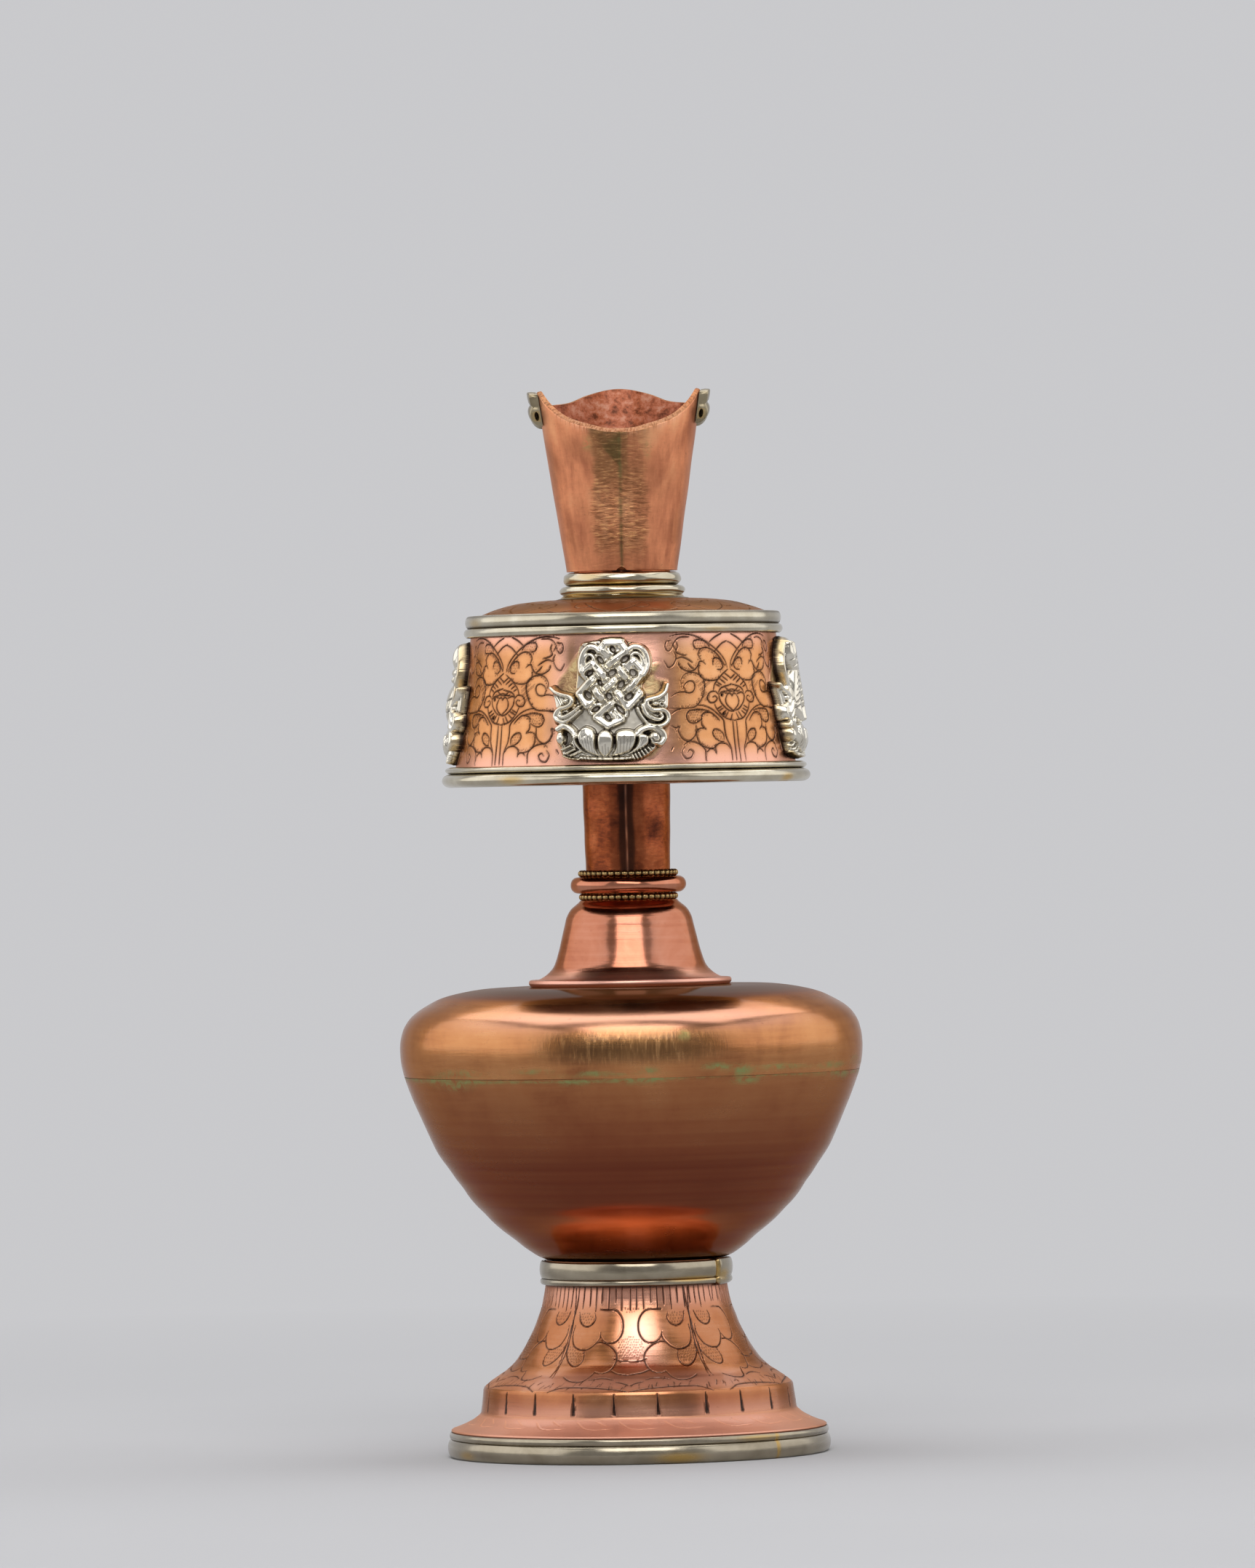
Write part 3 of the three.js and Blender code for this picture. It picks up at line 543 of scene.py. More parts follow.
FOOT_LINES = [
    ([-1.4, -0.6, 0.2, 0.5, 0.7, 0.3, 0.9], [31.7, 28.3, 25.2, 22.6, 19.7, 17.3, 15.5]),
    ([3.5, 5, 7.8, 11, 13.8, 15, 14.2], [27.4, 25.9, 25, 24.8, 25.3, 26.2, 27.2]),
    ([2.1, 1.8, 4, 7.6, 11.6, 15.2, 18, 19.1, 18.7], [24.9, 23.3, 21.5, 20.7, 20.5, 21.1, 22.2, 23.1, 23.7]),
    ([19, 21.4, 24.7, 28.5, 31.1, 31.7, 30.4, 27, 22.6, 17.3], [23.1, 22.1, 21.7, 22.1, 23.4, 25, 26.5, 27.6,
        27.8, 27.8]),
    ([1.4, 1.4, 4.3, 8.4, 11.3, 12.5, 11.6], [21.6, 20.2, 18.5, 17.6, 17.9, 19, 20.5]),
    ([17.2, 20.8, 24.8, 28.2, 29.6, 29, 27, 24.3, 22.1, 20.1], [21.8, 21.9, 21.4, 20.4, 19.3, 18, 16.9, 16.4,
        16.4, 16.6]),
    ([20.1, 18, 15.7, 12, 9, 6.3], [16.6, 15.5, 15, 15, 15.3, 15.8]), ([27.9, 31.5, 36], [19, 18.5, 18.4]),
    ([27.6, 30.7, 36], [16.9, 16.4, 16.1]),
    ([3.5, 5.9, 9, 15.1, 22.4, 28.2, 31.9, 35.5], [12.95, 13.4, 13.8, 13.9, 13.8, 13.6, 13.4, 13.1]),
    ([18.9, 22.7, 26.4, 29.5], [15.2, 15.5, 15.5, 15.2]), ([30.5, 33.5, 35.8], [14.9, 14.6, 14.2]),
]
FOOT_DROPS = [
    ([3.8, 5, 7.8, 11, 13.8, 14.6, 11, 6], [27, 25.9, 25.1, 24.9, 25.4, 26.6, 27.2, 27.4]),
    ([1.7, 1.6, 4.3, 8.4, 11.3, 12.2, 11, 6], [21.4, 20.2, 18.7, 17.8, 18.1, 19.2, 20.3, 21]),
]
FOOT_CENTRES = [
    (([29.3, 30.5, 36, 41.5, 42.7, 41.0, 36, 31.0], [20.6, 22.4, 22.9, 22.4, 20.6, 19.2, 18.7, 19.2]), 0.46),
    (([31, 36, 41, 36.5], [27.9, 27.9, 27.9, 26.9]), 0.5),
]
FOOT_SCORES = [
    (([2.4, 6, 9.2], [7.6, 6.55, 6.3]), 1.0),
    (([9.2, 16], [6.3, 6.45]), 0.9),
    (([9.5, 13.5], [7.7, 6.9]), 0.8),
]


def foot_engraving(outline):
    """The dark cuts, and the bright scores on the flange."""
    work, scores = Engraving(outline, FOOT_COLUMNS), Engraving(outline, FOOT_COLUMNS)
    for unit in range(UNITS):
        middle = FOOT_AXIS + UNIT * unit
        for side in (1, -1):
            start = middle - side * UNIT / 2
            for line in FOOT_LINES:
                work.draw(placed(line, start, side), rng.uniform(0.85, 1.05), wobble=0.06)
            for line in FOOT_DROPS:
                work.stipple(placed(line, start, side), 0.55, 1.15)
        for line, gap in FOOT_CENTRES:
            work.stipple(placed(line, middle - UNIT / 2), gap, 1.0)
    for n in range(RAYS):
        at = n * 360 / RAYS + rng.normal(0, 0.35)
        low = 28.2 + rng.uniform(-0.7, 0.8)
        work.draw(([at, at + rng.normal(0, 0.3)], [32.0, low]), rng.uniform(0.7, 1.0), 0.3)
    for n in range(FLUTES):
        at = n * 360 / FLUTES - 9.0 + rng.normal(0, 0.5)
        for shift in np.linspace(-1, 1, 5):
            work.draw(([at + 0.25, at + 0.55 * shift + 0.5], [12.7, 8.75]), 0.9, 0.1)
        for line, weight in FOOT_SCORES:
            scores.draw(placed(line, at), weight)
    for n in range(TICKS):
        at, low = n * 360 / TICKS + rng.normal(0, 0.6), 13.4 + abs(rng.normal(0, 0.5))
        work.draw(([at, at + rng.normal(0.8, 0.5)], [low, low + rng.uniform(0.4, 1.1)]), 0.6, 0.3)
    return work, scores


def build_foot():
    wall, flare = straight(FOOT_WALL, FOOT_STEP), curve(FLARE, FOOT_STEP)
    outside = np.concatenate([curve(FOOT_FLANGE, FOOT_STEP), wall[1:], flare[1:]])
    work, scores = foot_engraving(outside)
    lift, dark = work.depth()
    scored, bright = scores.depth(0.07)
    base = [[34.5, 0.3], [34.4, 4.3], [33.6, 4.9]]
    inner = inward(np.concatenate([base, outside[30::6], [FOOT_TOP]]))[::-1]
    inner[0], inner[-1] = (FOOT_TOP[0] - SHEET, FOOT_TOP[1]), (33.5, 0.0)
    profile = np.concatenate([[[34.5, 0.0], [34.5, 4.3]], outside, [FOOT_TOP], inner])
    grid, cut, worn = np.zeros((3, len(profile), FOOT_COLUMNS))
    rows = slice(2, 2 + len(outside))
    grid[rows] = lift + scored + waves(len(outside), FOOT_COLUMNS, 0.035, 11)
    cut[rows] = dark
    worn[rows] = bright * 0.9
    z, degrees = profile[:, 1:], from_front(FOOT_COLUMNS)
    # A painted shadow under the waist band.
    cut = most(cut, 0.8 * bell(z, 32.3, 0.7))
    dull = np.clip(rise(z, 17.5, 15) * (z > 13.2) + rise(z, 8.6, 7.8), 0, 1)
    # A painted highlight down the front of the flare, varying across it.
    painted_highlight = bell(degrees, 2, 13, 4) * (0.75 + 0.25 * np.cos(np.radians(degrees * 14)))
    # Painted shade: the step and the flare darken towards their sides, and the step more on the right.
    across = 0.45 - 0.45 * bell(degrees, 0, 22, 4) + 0.12 * np.sin(np.radians(5 * degrees))
    across += 0.12 * np.clip(np.sin(np.radians(degrees)), 0, 1)
    sides = 0.3 * rise(z, 15, 18) * (1 - bell(degrees, 0, 26, 4))
    turned(
        "foot_shell_engraved", profile, grid, FOOT_COPPER, "foot_shell", "engraved_copper",
        cut=cut,
        dull=dull,
        worn=most(worn, 0.15 * dull),
        # red lays that painted shade, with a reddish halo round the cuts and round the painted shadow.
        red=most(bell(z, 10.6, 2.2, 4) * across + sides, np.clip(1.2 * spread(cut, 7), 0, 0.45)),
        # Painted highlights on the front of the flange, low on the flare and down the flare's front, over two
        # rosy rings round the whole foot.
        pink=most(
            0.6 * bell(z, 30.5, 2.5) + 0.5 * bell(z, 9.3, 1.4),
            0.9 * rise(z, 8.4, 7.8) * bell(degrees, 0, 70, 4),
            0.85 * bell(z, 21.5, 5.5, 4) * painted_highlight,
            0.6 * bell(z, 14.8, 1.5, 4) * bell(degrees, 0, 50, 4),
        ),
    )


BAND_COLUMNS = 480
BAND_BACK = 0.45  # how far the metal stands from its bore in the valleys


def band(name, node, bore, foot, heights, stands, marks, lift=0.0):
    """A moulded band of white metal on its bore, a function of the height. marks are spots of brass."""
    points, z = [[[bore(foot), foot]]], foot
    for height, stand in zip(heights, stands):
        points.append(bead(bore(z + height / 2) + BAND_BACK, z, height, stand))
        z += height
    profile = np.concatenate([*points, [[bore(z), z]]])
    grid = waves(len(profile), BAND_COLUMNS, 0.014, len(name), 9) + lift
    grid[0] = grid[-1] = 0
    # The bands low on the foot take the darker copy of the metal and darker cuts: painted shade.
    low = foot < 40
    tarnish = waves(len(profile), BAND_COLUMNS, 0.3, len(name) + BAND_COLUMNS, 7)
    # Darker in the valleys between the mouldings: painted shade.
    valley = 0.75 * bell(profile[:, :1], bore(foot) + BAND_BACK, 0.16)
    turned(
        name, profile, grid, SHADED_BAND_METAL if low else BAND_METAL, node, "white_metal_band",
        cut=most(valley, np.clip(tarnish, 0, 0.5) + 0.12 * low), brass=spots(profile, BAND_COLUMNS, marks),
    )


def waist_seam():
    """The band's end lies over its start, a little right of the front."""
    turn = turn_of(BAND_COLUMNS, 360)
    return 0.4 * rise(turn, 58, 58.8) * rise(turn, 95, 60) - 0.3 * bell(turn, 57.4, 0.7)


build_foot()
band(
    "foot_rim_moulding", "foot_rim_band", lambda z: RIM_BORE, 0.0, (3.4, 1.3), (0.75, 0.4),
    [
        (12, 1.1, 4.6, 1, 0.9), (46, 2.6, 0.45, 4, 1), (-64, 1, 3, 0.8, 0.7), (39, 4.1, 5, 0.5, 0.6),
        (150, 1.5, 4, 1, 0.7), (-140, 3, 0.5, 4, 0.9),
    ],
)
band(
    "waist_moulding", "waist_band", lambda z: FOOT_TOP[0] + FIT, 32.1, (1.1, 3.3), (0.35, 0.45),
    [(38, 33.2, 6, 0.5, 0.9), (57.5, 34.5, 0.5, 3, 1), (64, 33.6, 2.2, 1, 0.9), (-120, 33.4, 5, 0.5, 0.8)],
    waist_seam(),
)


# Belly

BELLY_COLUMNS = 512
BOWL = [
    (17.3, 36.9), (18.4, 37.4), (20.7, 39), (22.6, 40.6), (24.8, 42.3), (26.6, 43.9), (28.2, 45.6),
    (29.8, 47.2), (31.1, 48.8), (32.2, 50.5), (33.4, 52.1), (34.5, 53.8), (36.7, 57), (38.3, 60.3),
    (39.7, 63.6), (41.1, 66.9), (42.3, 70), (42.75, 71.5),
]
SHOULDER = [
    (42.75, 71.55), (43.15, 73.2), (43.4, 75.2), (43.4, 77.4), (43.1, 79.2), (42.55, 80.8), (41.5, 82.4),
    (40.3, 83.5), (39.1, 84.3), (37.3, 85.3), (35.5, 86.1), (33, 86.8), (29.5, 87.45), (26, 87.8),
    (20.5, 87.9),
]
# Green spots, as spots() takes them.
BOWL_GREEN = [
    (-52, 70.4, 5, 0.9, 0.7), (30, 70.6, 3, 0.6, 0.9), (-14, 71, 3, 0.5, 0.8), (66, 70.7, 4, 0.7, 0.7),
]
SHOULDER_GREEN = [
    (13, 79.2, 1, 0.9, 0.9), (22, 73.4, 3.4, 0.6, 1), (28, 72.6, 2.4, 1.1, 1), (40, 73, 6, 0.5, 0.8),
    (-25, 73, 4, 0.45, 0.7), (-48, 72.6, 6, 0.7, 0.8), (-9, 72.5, 3, 0.5, 0.9), (4, 72.9, 2, 0.6, 0.8),
    (60, 72.8, 5, 0.6, 0.8), (75, 73.5, 3, 1, 0.5),
]


def build_bowl():
    wall = curve(BOWL, 0.5)
    floor = np.array([[0.01, 36.75], [9.0, 36.75], [16.8, 36.75]])
    tongue = [[41.4, 71.55], [41.4, 74.5], [40.4, 74.5], [40.4, 70.5]]
    ceiling = [[16.3, 37.75], [9.0, 37.75], [0.01, 37.75]]
    profile = np.concatenate([floor, wall, tongue, inward(wall[::4])[::-1][1:], ceiling])
    rows = len(floor) + len(wall)
    grid = np.zeros((len(profile), BELLY_COLUMNS))
    grid[len(floor) : rows] = waves(len(wall), BELLY_COLUMNS, 0.06, 21, 7)
    out = (np.arange(len(profile)) < rows)[:, None]
    z, turn = profile[:, 1:], turn_of(BELLY_COLUMNS)
    crust = 0.5 + 0.5 * np.sin(5 * turn + 1.2 + 1.5 * np.sin(3 * turn))
    line = bell(z, 71.3 + 0.2 * np.sin(3 * turn), 0.22 + 0.4 * crust**3) * (0.5 + 0.6 * crust)
    rings = 0.03 * np.sin(z * 5.1) + 0.03 * np.sin(z * 2.3 + 1)
    turned(
        "bowl_raised", profile, grid, BELLY_COPPER, "bowl_lower", "belly_copper", around=False,
        green=(line + spots(profile, BELLY_COLUMNS, BOWL_GREEN)) * out,
        red=rise(z, 77, 55) ** 0.8 * (0.95 + rings) * out,
        # A painted highlight across the front of the bowl.
        glow=0.95 * bell(from_front(BELLY_COLUMNS), 0, 30) * bell(z, 43.2, 2.4) * out,
        stain=0.56 * bell(z, 37.3, 1.0) * out,
    )


def build_shoulder():
    top = curve(SHOULDER, 0.4)
    outside = np.concatenate([top, [[14.2, 87.95]]])
    profile = np.concatenate([outside, inward(outside[::3])[::-1][:-1], [[41.9, 71.9]]])
    grid = np.zeros((len(profile), BELLY_COLUMNS))
    grid[1 : len(top)] = waves(len(top) - 1, BELLY_COLUMNS, 0.05, 22, 7)
    out = (np.arange(len(profile)) < len(top))[:, None]
    r, z = profile[:, :1], profile[:, 1:]
    turn, degrees = turn_of(BELLY_COLUMNS), from_front(BELLY_COLUMNS)
    seam = 0.5 * bell(z, 72.3 + 0.5 * np.sin(turn), 0.3) * np.sin(4 * turn + 2) ** 2
    # A painted dark reflection on the front of the shoulder, where the copper is also scratched.
    dark_reflection_and_scratches = bell(degrees, 0, 21, 4) * bell(z, 77.2, 2.9, 4) * out
    # The shoulder is also darker near the cone and over its top.
    darkening_and_dark_reflection = most(0.4 * rise(r, 18, 21) * bell(z, 88.3, 1.6), 0.75 * dark_reflection_and_scratches, 0.6 * rise(r, 36.5, 31.5))
    turned(
        "shoulder_raised", profile, grid, BELLY_COPPER, "shoulder_upper", "belly_copper",
        green=most(spots(profile, BELLY_COLUMNS, SHOULDER_GREEN), seam) * out,
        stain=darkening_and_dark_reflection * out,
        filed=0.5 * dark_reflection_and_scratches,
        red=0.85 * rise(r, 38.5, 34.5) * out,
        # A painted highlight along the front of the shoulder.
        pink=0.55 * bell(z, 82.6, 2.0) * bell(degrees, 0, 50.4, 4) * out,
        dull=rise(r, 38, 34) * out,
        cut=0.3 * rise(r, 37, 32) * out,
    )


build_bowl()
build_shoulder()


# Neck

CONE = [
    (19, 88.35), (19.05, 88.75), (18.8, 89.15), (18.2, 89.2), (17.1, 89.3), (15.9, 89.95), (15, 90.75),
    (14.35, 91.6), (13.9, 92.6), (13.5, 93.8), (13.15, 95), (12.85, 96.3), (12.5, 97.8), (12.1, 99.4),
    (11.8, 100.6), (11.35, 101.6), (10.8, 102.4), (10, 103.1), (9.4, 103.6), (9.1, 103.95),
]
CONE_COLUMNS = 256
RING_COLUMNS = 192
BEADS = 44
BEAD_ROWS = 10
WIRE = 0.65  # half the thickness of a bead
WIRE_SIDES = 14
TUBE_COLUMNS = 360
TUBE_FOOT, TUBE_TOP = (7.75, 100.85), (9.15, 168.1)
SEAM_AT = -1.0  # degrees from the front


def tube_radius(z):
    return cone_radius(z, TUBE_FOOT, TUBE_TOP)


def build_cone():
    outside = curve(CONE, 0.3)
    bore = tube_radius(104) + FIT
    inner = inward(outside[8::5])[::-1]
    inner = inner[(inner[:, 0] > 8.3) & (inner[:, 0] < 13.6) & (inner[:, 1] < 102.4)]
    foot, top = [[14.2, 87.95], [18.7, 87.95]], [[bore, 103.95], [bore, 103.1]]
    profile = np.concatenate([foot, outside, top, inner, [[14.0, 89.2]]])
    z = profile[:, 1:]
    # The flange at the cone's foot is made rougher, and lighter and rosier as a painted highlight.
    dull = rise(z, 91.5, 89.9)
    turned(
        "neck_cone_turned", profile, waves(len(profile), CONE_COLUMNS, 0.025, 31, 4), CONE_COPPER,
        "neck_cone", "turned_copper",
        stain=0.3 * bell(z, 90.3, 0.4), dull=0.7 * dull, pink=dull, red=0.22 * (1 - dull),
    )


def build_ring():
    bore = tube_radius(108.35) + FIT
    ring = bead(bore + 1.35, 105.3, 3.05, 1.35, 20)
    profile = np.concatenate([[[bore, 105.3]], ring, [[bore, 108.35]]])
    lift = waves(len(profile), RING_COLUMNS, 0.03, 240, 6)
    turned("neck_ring_turned", profile, lift, CONE_COPPER, "neck_ring", "turned_copper")


def build_beads(name, node, foot):
    """A wire pinched into round beads."""
    rings = BEADS * BEAD_ROWS
    pinch = np.abs((np.arange(rings) / BEAD_ROWS) % 1 - 0.5) * 2
    girth = WIRE * np.sqrt(np.clip(1 - (pinch * 0.86) ** 2, 0.2, 1))[:, None]
    middle = tube_radius(foot + WIRE) + FIT + 0.62
    side = turn_of(WIRE_SIDES)
    r, z = middle + girth * np.cos(side), foot + WIRE + girth * np.sin(side)
    co = place_round(r, z, turn_of(rings)[:, None])
    # The pinches between the beads are darkened: painted shade.
    cut = np.repeat((pinch - 0.55) * 2.4, WIRE_SIDES)
    make(name, co, [tube_faces(rings, WIRE_SIDES)[:, ::-1]], WIRE_METAL, node, {"cut": cut})


def build_tube():
    z = np.concatenate([[TUBE_FOOT[1]], np.arange(104, 127, 0.4), [140, 160, TUBE_TOP[1]]])[:, None]
    outside = np.concatenate([tube_radius(z), z], axis=1)
    profile = np.concatenate([outside, (outside - [SHEET, 0])[::-1]])
    rows = len(z)
    at = from_front(TUBE_COLUMNS) - SEAM_AT + 0.35 * np.sin(z / 3.1)
    grid, cut, worn = np.zeros((3, len(profile), TUBE_COLUMNS))
    grid[:rows] = waves(rows, TUBE_COLUMNS, 0.04, 41, 4) - 0.22 * bell(at, 0, 1.5)
    grid[0] = grid[rows - 1] = 0
    line = bell(at, 0, 1.1) * (0.6 + 0.4 * np.sin(z / 1.3) ** 2)
    cut[:rows] = 0.85 * step(np.abs(at) - 10.5 - np.sin(z / 2.2), 1.1) - 0.75 * line
    worn[:rows] = 0.45 * line
    turned(
        "neck_tube_seamed", profile, grid, TUBE_COPPER, "neck_tube", "turned_copper", cut=cut, worn=worn
    )


build_cone()
build_ring()
build_beads("beads_lower", "lower_beaded_wire", 103.95)
build_beads("beads_upper", "upper_beaded_wire", 108.35)
build_tube()


# Emblems

GRID = 0.1
EMBLEM_FOOT = 130.0
EMBLEM_SCALE = 0.991
EMBLEM_EDGE = 0.12  # how far the metal goes past the drawn outlines
EMBLEM_CURVE = 30.6  # the drum's radius there
EMBLEM_BACK = -0.2
# Where the crossings of an even knot, (column, row), lie in the photographed one.
KNOT_PLACES = {
    (-0.5, 3.6): (-0.7, 22.1), (0.5, 3.6): (2.05, 22.15), (1, 3): (3.2, 20.5), (-1, 3): (-1.6, 20.95),
    (2, 2): (4.5, 18.75), (3, 1): (6.15, 16.8), (3, -1): (5.4, 12.5), (2, -2): (3.2, 10.1),
    (-2, 2): (-3.15, 18.35), (-3, 1): (-5, 16.8), (-3, -1): (-5.5, 12.7), (-2, -2): (-4.05, 10.5),
    (-1, -3): (-2.35, 8.3), (0, -4): (-0.3, 6.7), (1, -3): (2.05, 7.8), (0, 0): (0.35, 14.45),
    (-2, 0): (-3.5, 14.9), (2, 0): (4.05, 14), (0, 2): (0.8, 18.8), (0, -2): (-0.1, 10.4),
    (1, 1): (2.2, 16.6), (-1, -1): (-2.05, 12.6), (-1, 1): (-1.6, 16.75), (1, -1): (1.9, 12.2),
}
KNOT_PATH = [
    (-0.5, 3.6), (0.5, 3.6), (1, 3), (0, 2), (-1, 1), (-2, 0), (-3, -1), (-2, -2), (-1, -1), (0, 0), (1, 1),
    (2, 2), (3, 1), (2, 0), (1, -1), (0, -2), (-1, -3), (0, -4), (1, -3), (0, -2), (-1, -1), (-2, 0), (-3, 1),
    (-2, 2), (-1, 1), (0, 0), (1, -1), (2, -2), (3, -1), (2, 0), (1, 1), (0, 2), (-1, 3),
]
STRAND = 0.96  # half its width
# Openings in the knot: x, y, long half, short half, lean of the long one in degrees.
HOLES = [
    (0.65, 20.85, 0.75, 0.5, 125), (2.9, 19, 1, 0.55, 40), (-1.65, 18.9, 0.95, 0.5, 130),
    (-3.7, 16.5, 0.8, 0.5, 30), (0.45, 16.45, 0.95, 0.62, 35), (4.35, 16.4, 0.85, 0.68, 130),
    (2.1, 14.25, 0.9, 0.6, 60), (-1.75, 14.7, 0.7, 0.4, 120), (-3.9, 12.35, 0.95, 0.62, 125),
    (-0.1, 12.1, 0.8, 0.6, 120), (3.5, 12, 0.9, 0.6, 40), (-2.5, 9.75, 0.9, 0.45, 30),
    (1.9, 9.6, 1.3, 0.45, 130), (-0.3, 8.2, 0.85, 0.5, 120),
]
LOOPS = [
    [(-1.9, 20.6), (-2.65, 21.3), (-3.79, 21.4), (-4.69, 20.55), (-5.15, 19.34), (-5.3, 18.03),
        (-5.1, 16.73)],
    [(3.5, 20.75), (4.54, 21.3), (5.69, 21.1), (6.6, 20.2), (7, 18.7), (6.85, 17.3), (6.18, 16)],
]
INNER_LOOPS = [
    [(-2.81, 19), (-3.05, 19.7), (-3.8, 20), (-4.45, 19.5), (-4.7, 18.4)],
    [(3.89, 19.6), (4.6, 20.15), (5.44, 19.95), (6, 19.1), (6.25, 18)],
]
RIBBONS = [
    [(-10.8, 13.9), (-9.9, 13.1), (-8.6, 12.55), (-7.3, 12.2), (-6.7, 11.6), (-6.9, 10.8), (-7.8, 10.25),
        (-8.8, 10), (-9.5, 9.4), (-9.75, 8.5), (-9.2, 7.75), (-8.1, 7.5), (-6.8, 8.1), (-5.2, 9.5)],
    [(-8.75, 9.15), (-8.95, 8.65), (-8.3, 8.35), (-7.3, 8.75), (-6.3, 9.45), (-5.4, 10.3)],
    [(10.4, 14.2), (9.9, 12.8), (8.8, 11.9), (7.4, 11.5), (6.5, 11.1), (6.8, 10.1), (7.6, 9.45), (9.4, 9.35),
        (10.2, 8.6), (10.2, 7.5), (9.4, 6.65), (8.2, 6.4), (6.9, 6.7), (6, 7.6), (5.2, 8.9), (4.9, 9.8)],
    [(5.8, 10.4), (6.3, 8.9), (7.3, 8), (8.5, 7.6), (9.25, 8.05), (9, 8.65)],
]
# Metal between the ribbons: outlines and heights.
FILLS = [
    ([(-11, 14), (-11, 13.2), (-10.4, 11.4), (-9.9, 9.6), (-8.9, 10.2), (-6.9, 10.6), (-6.3, 11.7),
        (-7.3, 12.5), (-8.9, 12.9), (-9.9, 13.5)], 1.25),
    ([(10.6, 14.6), (10.9, 13.4), (10.6, 9.7), (9.4, 9.7), (7.6, 9.8), (6.3, 11.1), (6.5, 11.9), (7.9, 11.9),
        (9, 12.5), (9.8, 13.7)], 1.25),
    ([(-10.3, 10), (-10.4, 7.6), (-9.4, 6.9), (-6.9, 7), (-4.6, 9.3), (-5.3, 10.6), (-8.1, 9.9)], 1.15),
    ([(10.7, 9.3), (10.8, 7), (9.7, 6), (6.5, 6.1), (4.4, 9.2), (5.9, 10.8), (7.4, 9.5), (9.7, 9.2)], 1.15),
]
HEM = [
    (-8.9, 5.6), (-9, 3.1), (-8.6, 1.3), (-6.9, 0.4), (-4.5, 0.15), (0, -0.05), (4, 0), (6, 0.5), (7.6, 1.7),
    (8.4, 3), (8.6, 5.4), (6.4, 5.8), (0, 5), (-6, 5.8),
]
HEM_BARS = [
    [(-8.5, 2.3), (-6.9, 3)], [(-7.7, 1.6), (-6.1, 2.35)], [(-6.8, 1.2), (-5.2, 1.95)],
    [(-8.3, 1.15), (-7, 0.65), (-5.4, 0.42)], [(-5, 0.72), (-2.6, 0.5), (0, 0.4), (2.2, 0.45), (3.6, 0.55)],
    [(4.15, 0.3), (3.8, 1.1)], [(4.7, 0.4), (4.3, 1.3)], [(5.3, 0.6), (4.85, 1.55)],
    [(5.9, 0.95), (5.4, 1.85)], [(6.5, 1.3), (5.95, 2.15)], [(7.1, 1.75), (6.5, 2.5)],
]
PETALS = [
    [(-1, 0.65), (-1.9, 1.8), (-2.17, 3.2), (-2.12, 4.5), (-1.75, 5.45), (-0.8, 5.9), (0.2, 5.5), (0.65, 4.6),
        (0.7, 3.4), (0.35, 2), (-0.3, 1)],
    [(-2.4, 5.2), (-2.9, 6.15), (-4, 6.65), (-5, 6.2), (-5.5, 5.2), (-5.45, 4), (-4.8, 2.6), (-3.7, 1.65),
        (-2, 1.05), (-2.35, 2.5)],
    [(0.95, 5), (1.45, 5.7), (2.8, 6), (4, 5.7), (4.6, 5), (4.55, 3.8), (4, 2.4), (2.9, 1.45), (0.4, 0.95),
        (0.95, 2.5)],
    [(-5.65, 4.9), (-6.1, 5.3), (-6.5, 4.6), (-6.1, 3.1), (-5, 1.9), (-3.8, 1.35), (-4.9, 2.4), (-5.6, 3.8)],
    [(4.75, 4.8), (5.6, 5.1), (6.6, 4.7), (6.7, 3.3), (5.7, 2.3), (4.3, 1.6), (3, 1.2), (4.2, 2.4),
        (4.7, 3.7)],
]
# Cuts in the petals: x, and the heights of their ends.
PETAL_HATCH = [
    (-5, 2.6, 4.9), (-4.55, 2.2, 4.6), (-4.05, 2.4, 4.9), (-3.6, 1.8, 4.5), (-3.1, 1.7, 3.9),
    (-2.7, 1.5, 3.3), (1.35, 1.3, 3.6), (1.9, 1.4, 4.2), (2.5, 1.6, 4.5), (3.05, 1.8, 4.2), (3.6, 2.1, 4.4),
    (-1.2, 1.5, 2.8), (-0.7, 1.3, 3.2), (-0.2, 1.6, 2.6), (5.1, 2.5, 4), (5.7, 2.8, 3.9), (-5.8, 3.2, 4.3),
]
ARMS = [
    [(-9.1, 6.2), (-8.3, 6.65), (-7.3, 6.4), (-6.4, 5.6), (-6, 4.8)],
    [(4.7, 5), (5.4, 5.7), (6.6, 6.15), (8, 6), (9.1, 5.2), (9.3, 4.1), (8.7, 3.2)],
]
HEART = [(-6.6, 5), (-5.6, 2.6), (-3.4, 1.2), (-0.7, 0.8), (2, 1), (4.6, 1.8), (6.4, 3.2), (6.6, 5), (0, 5.2)]
PLATE = [
    (-5.3, 22.1), (-2.65, 22.5), (-1.2, 23), (2.4, 22.95), (3.5, 22.2), (5.3, 21.96), (7, 21.3), (7.9, 19.6),
    (7.8, 16.89), (6.8, 15.26), (5.9, 13.95), (6.6, 12), (6.4, 8.23), (6, 5), (-6.6, 5), (-6.3, 9.37),
    (-6.4, 13.13), (-6.2, 16.4), (-6.1, 20.16),
]
EVEN_PLATE = [
    (0, 23), (2.6, 22.6), (5.2, 21.5), (6.9, 19.4), (7.4, 16.6), (6.7, 14.2), (6.3, 11.5), (6.2, 8.2),
    (5.6, 5), (-5.6, 5), (-6.2, 8.2), (-6.3, 11.5), (-6.7, 14.2), (-7.4, 16.6), (-6.9, 19.4), (-5.2, 21.5),
    (-2.6, 22.6),
]
SCARF = [(0.6, 22.3), (2.8, 22.1), (5, 20.9), (6.5, 18.9), (6.8, 16.6), (6, 14.6), (5.2, 13), (5.7, 11.3)]
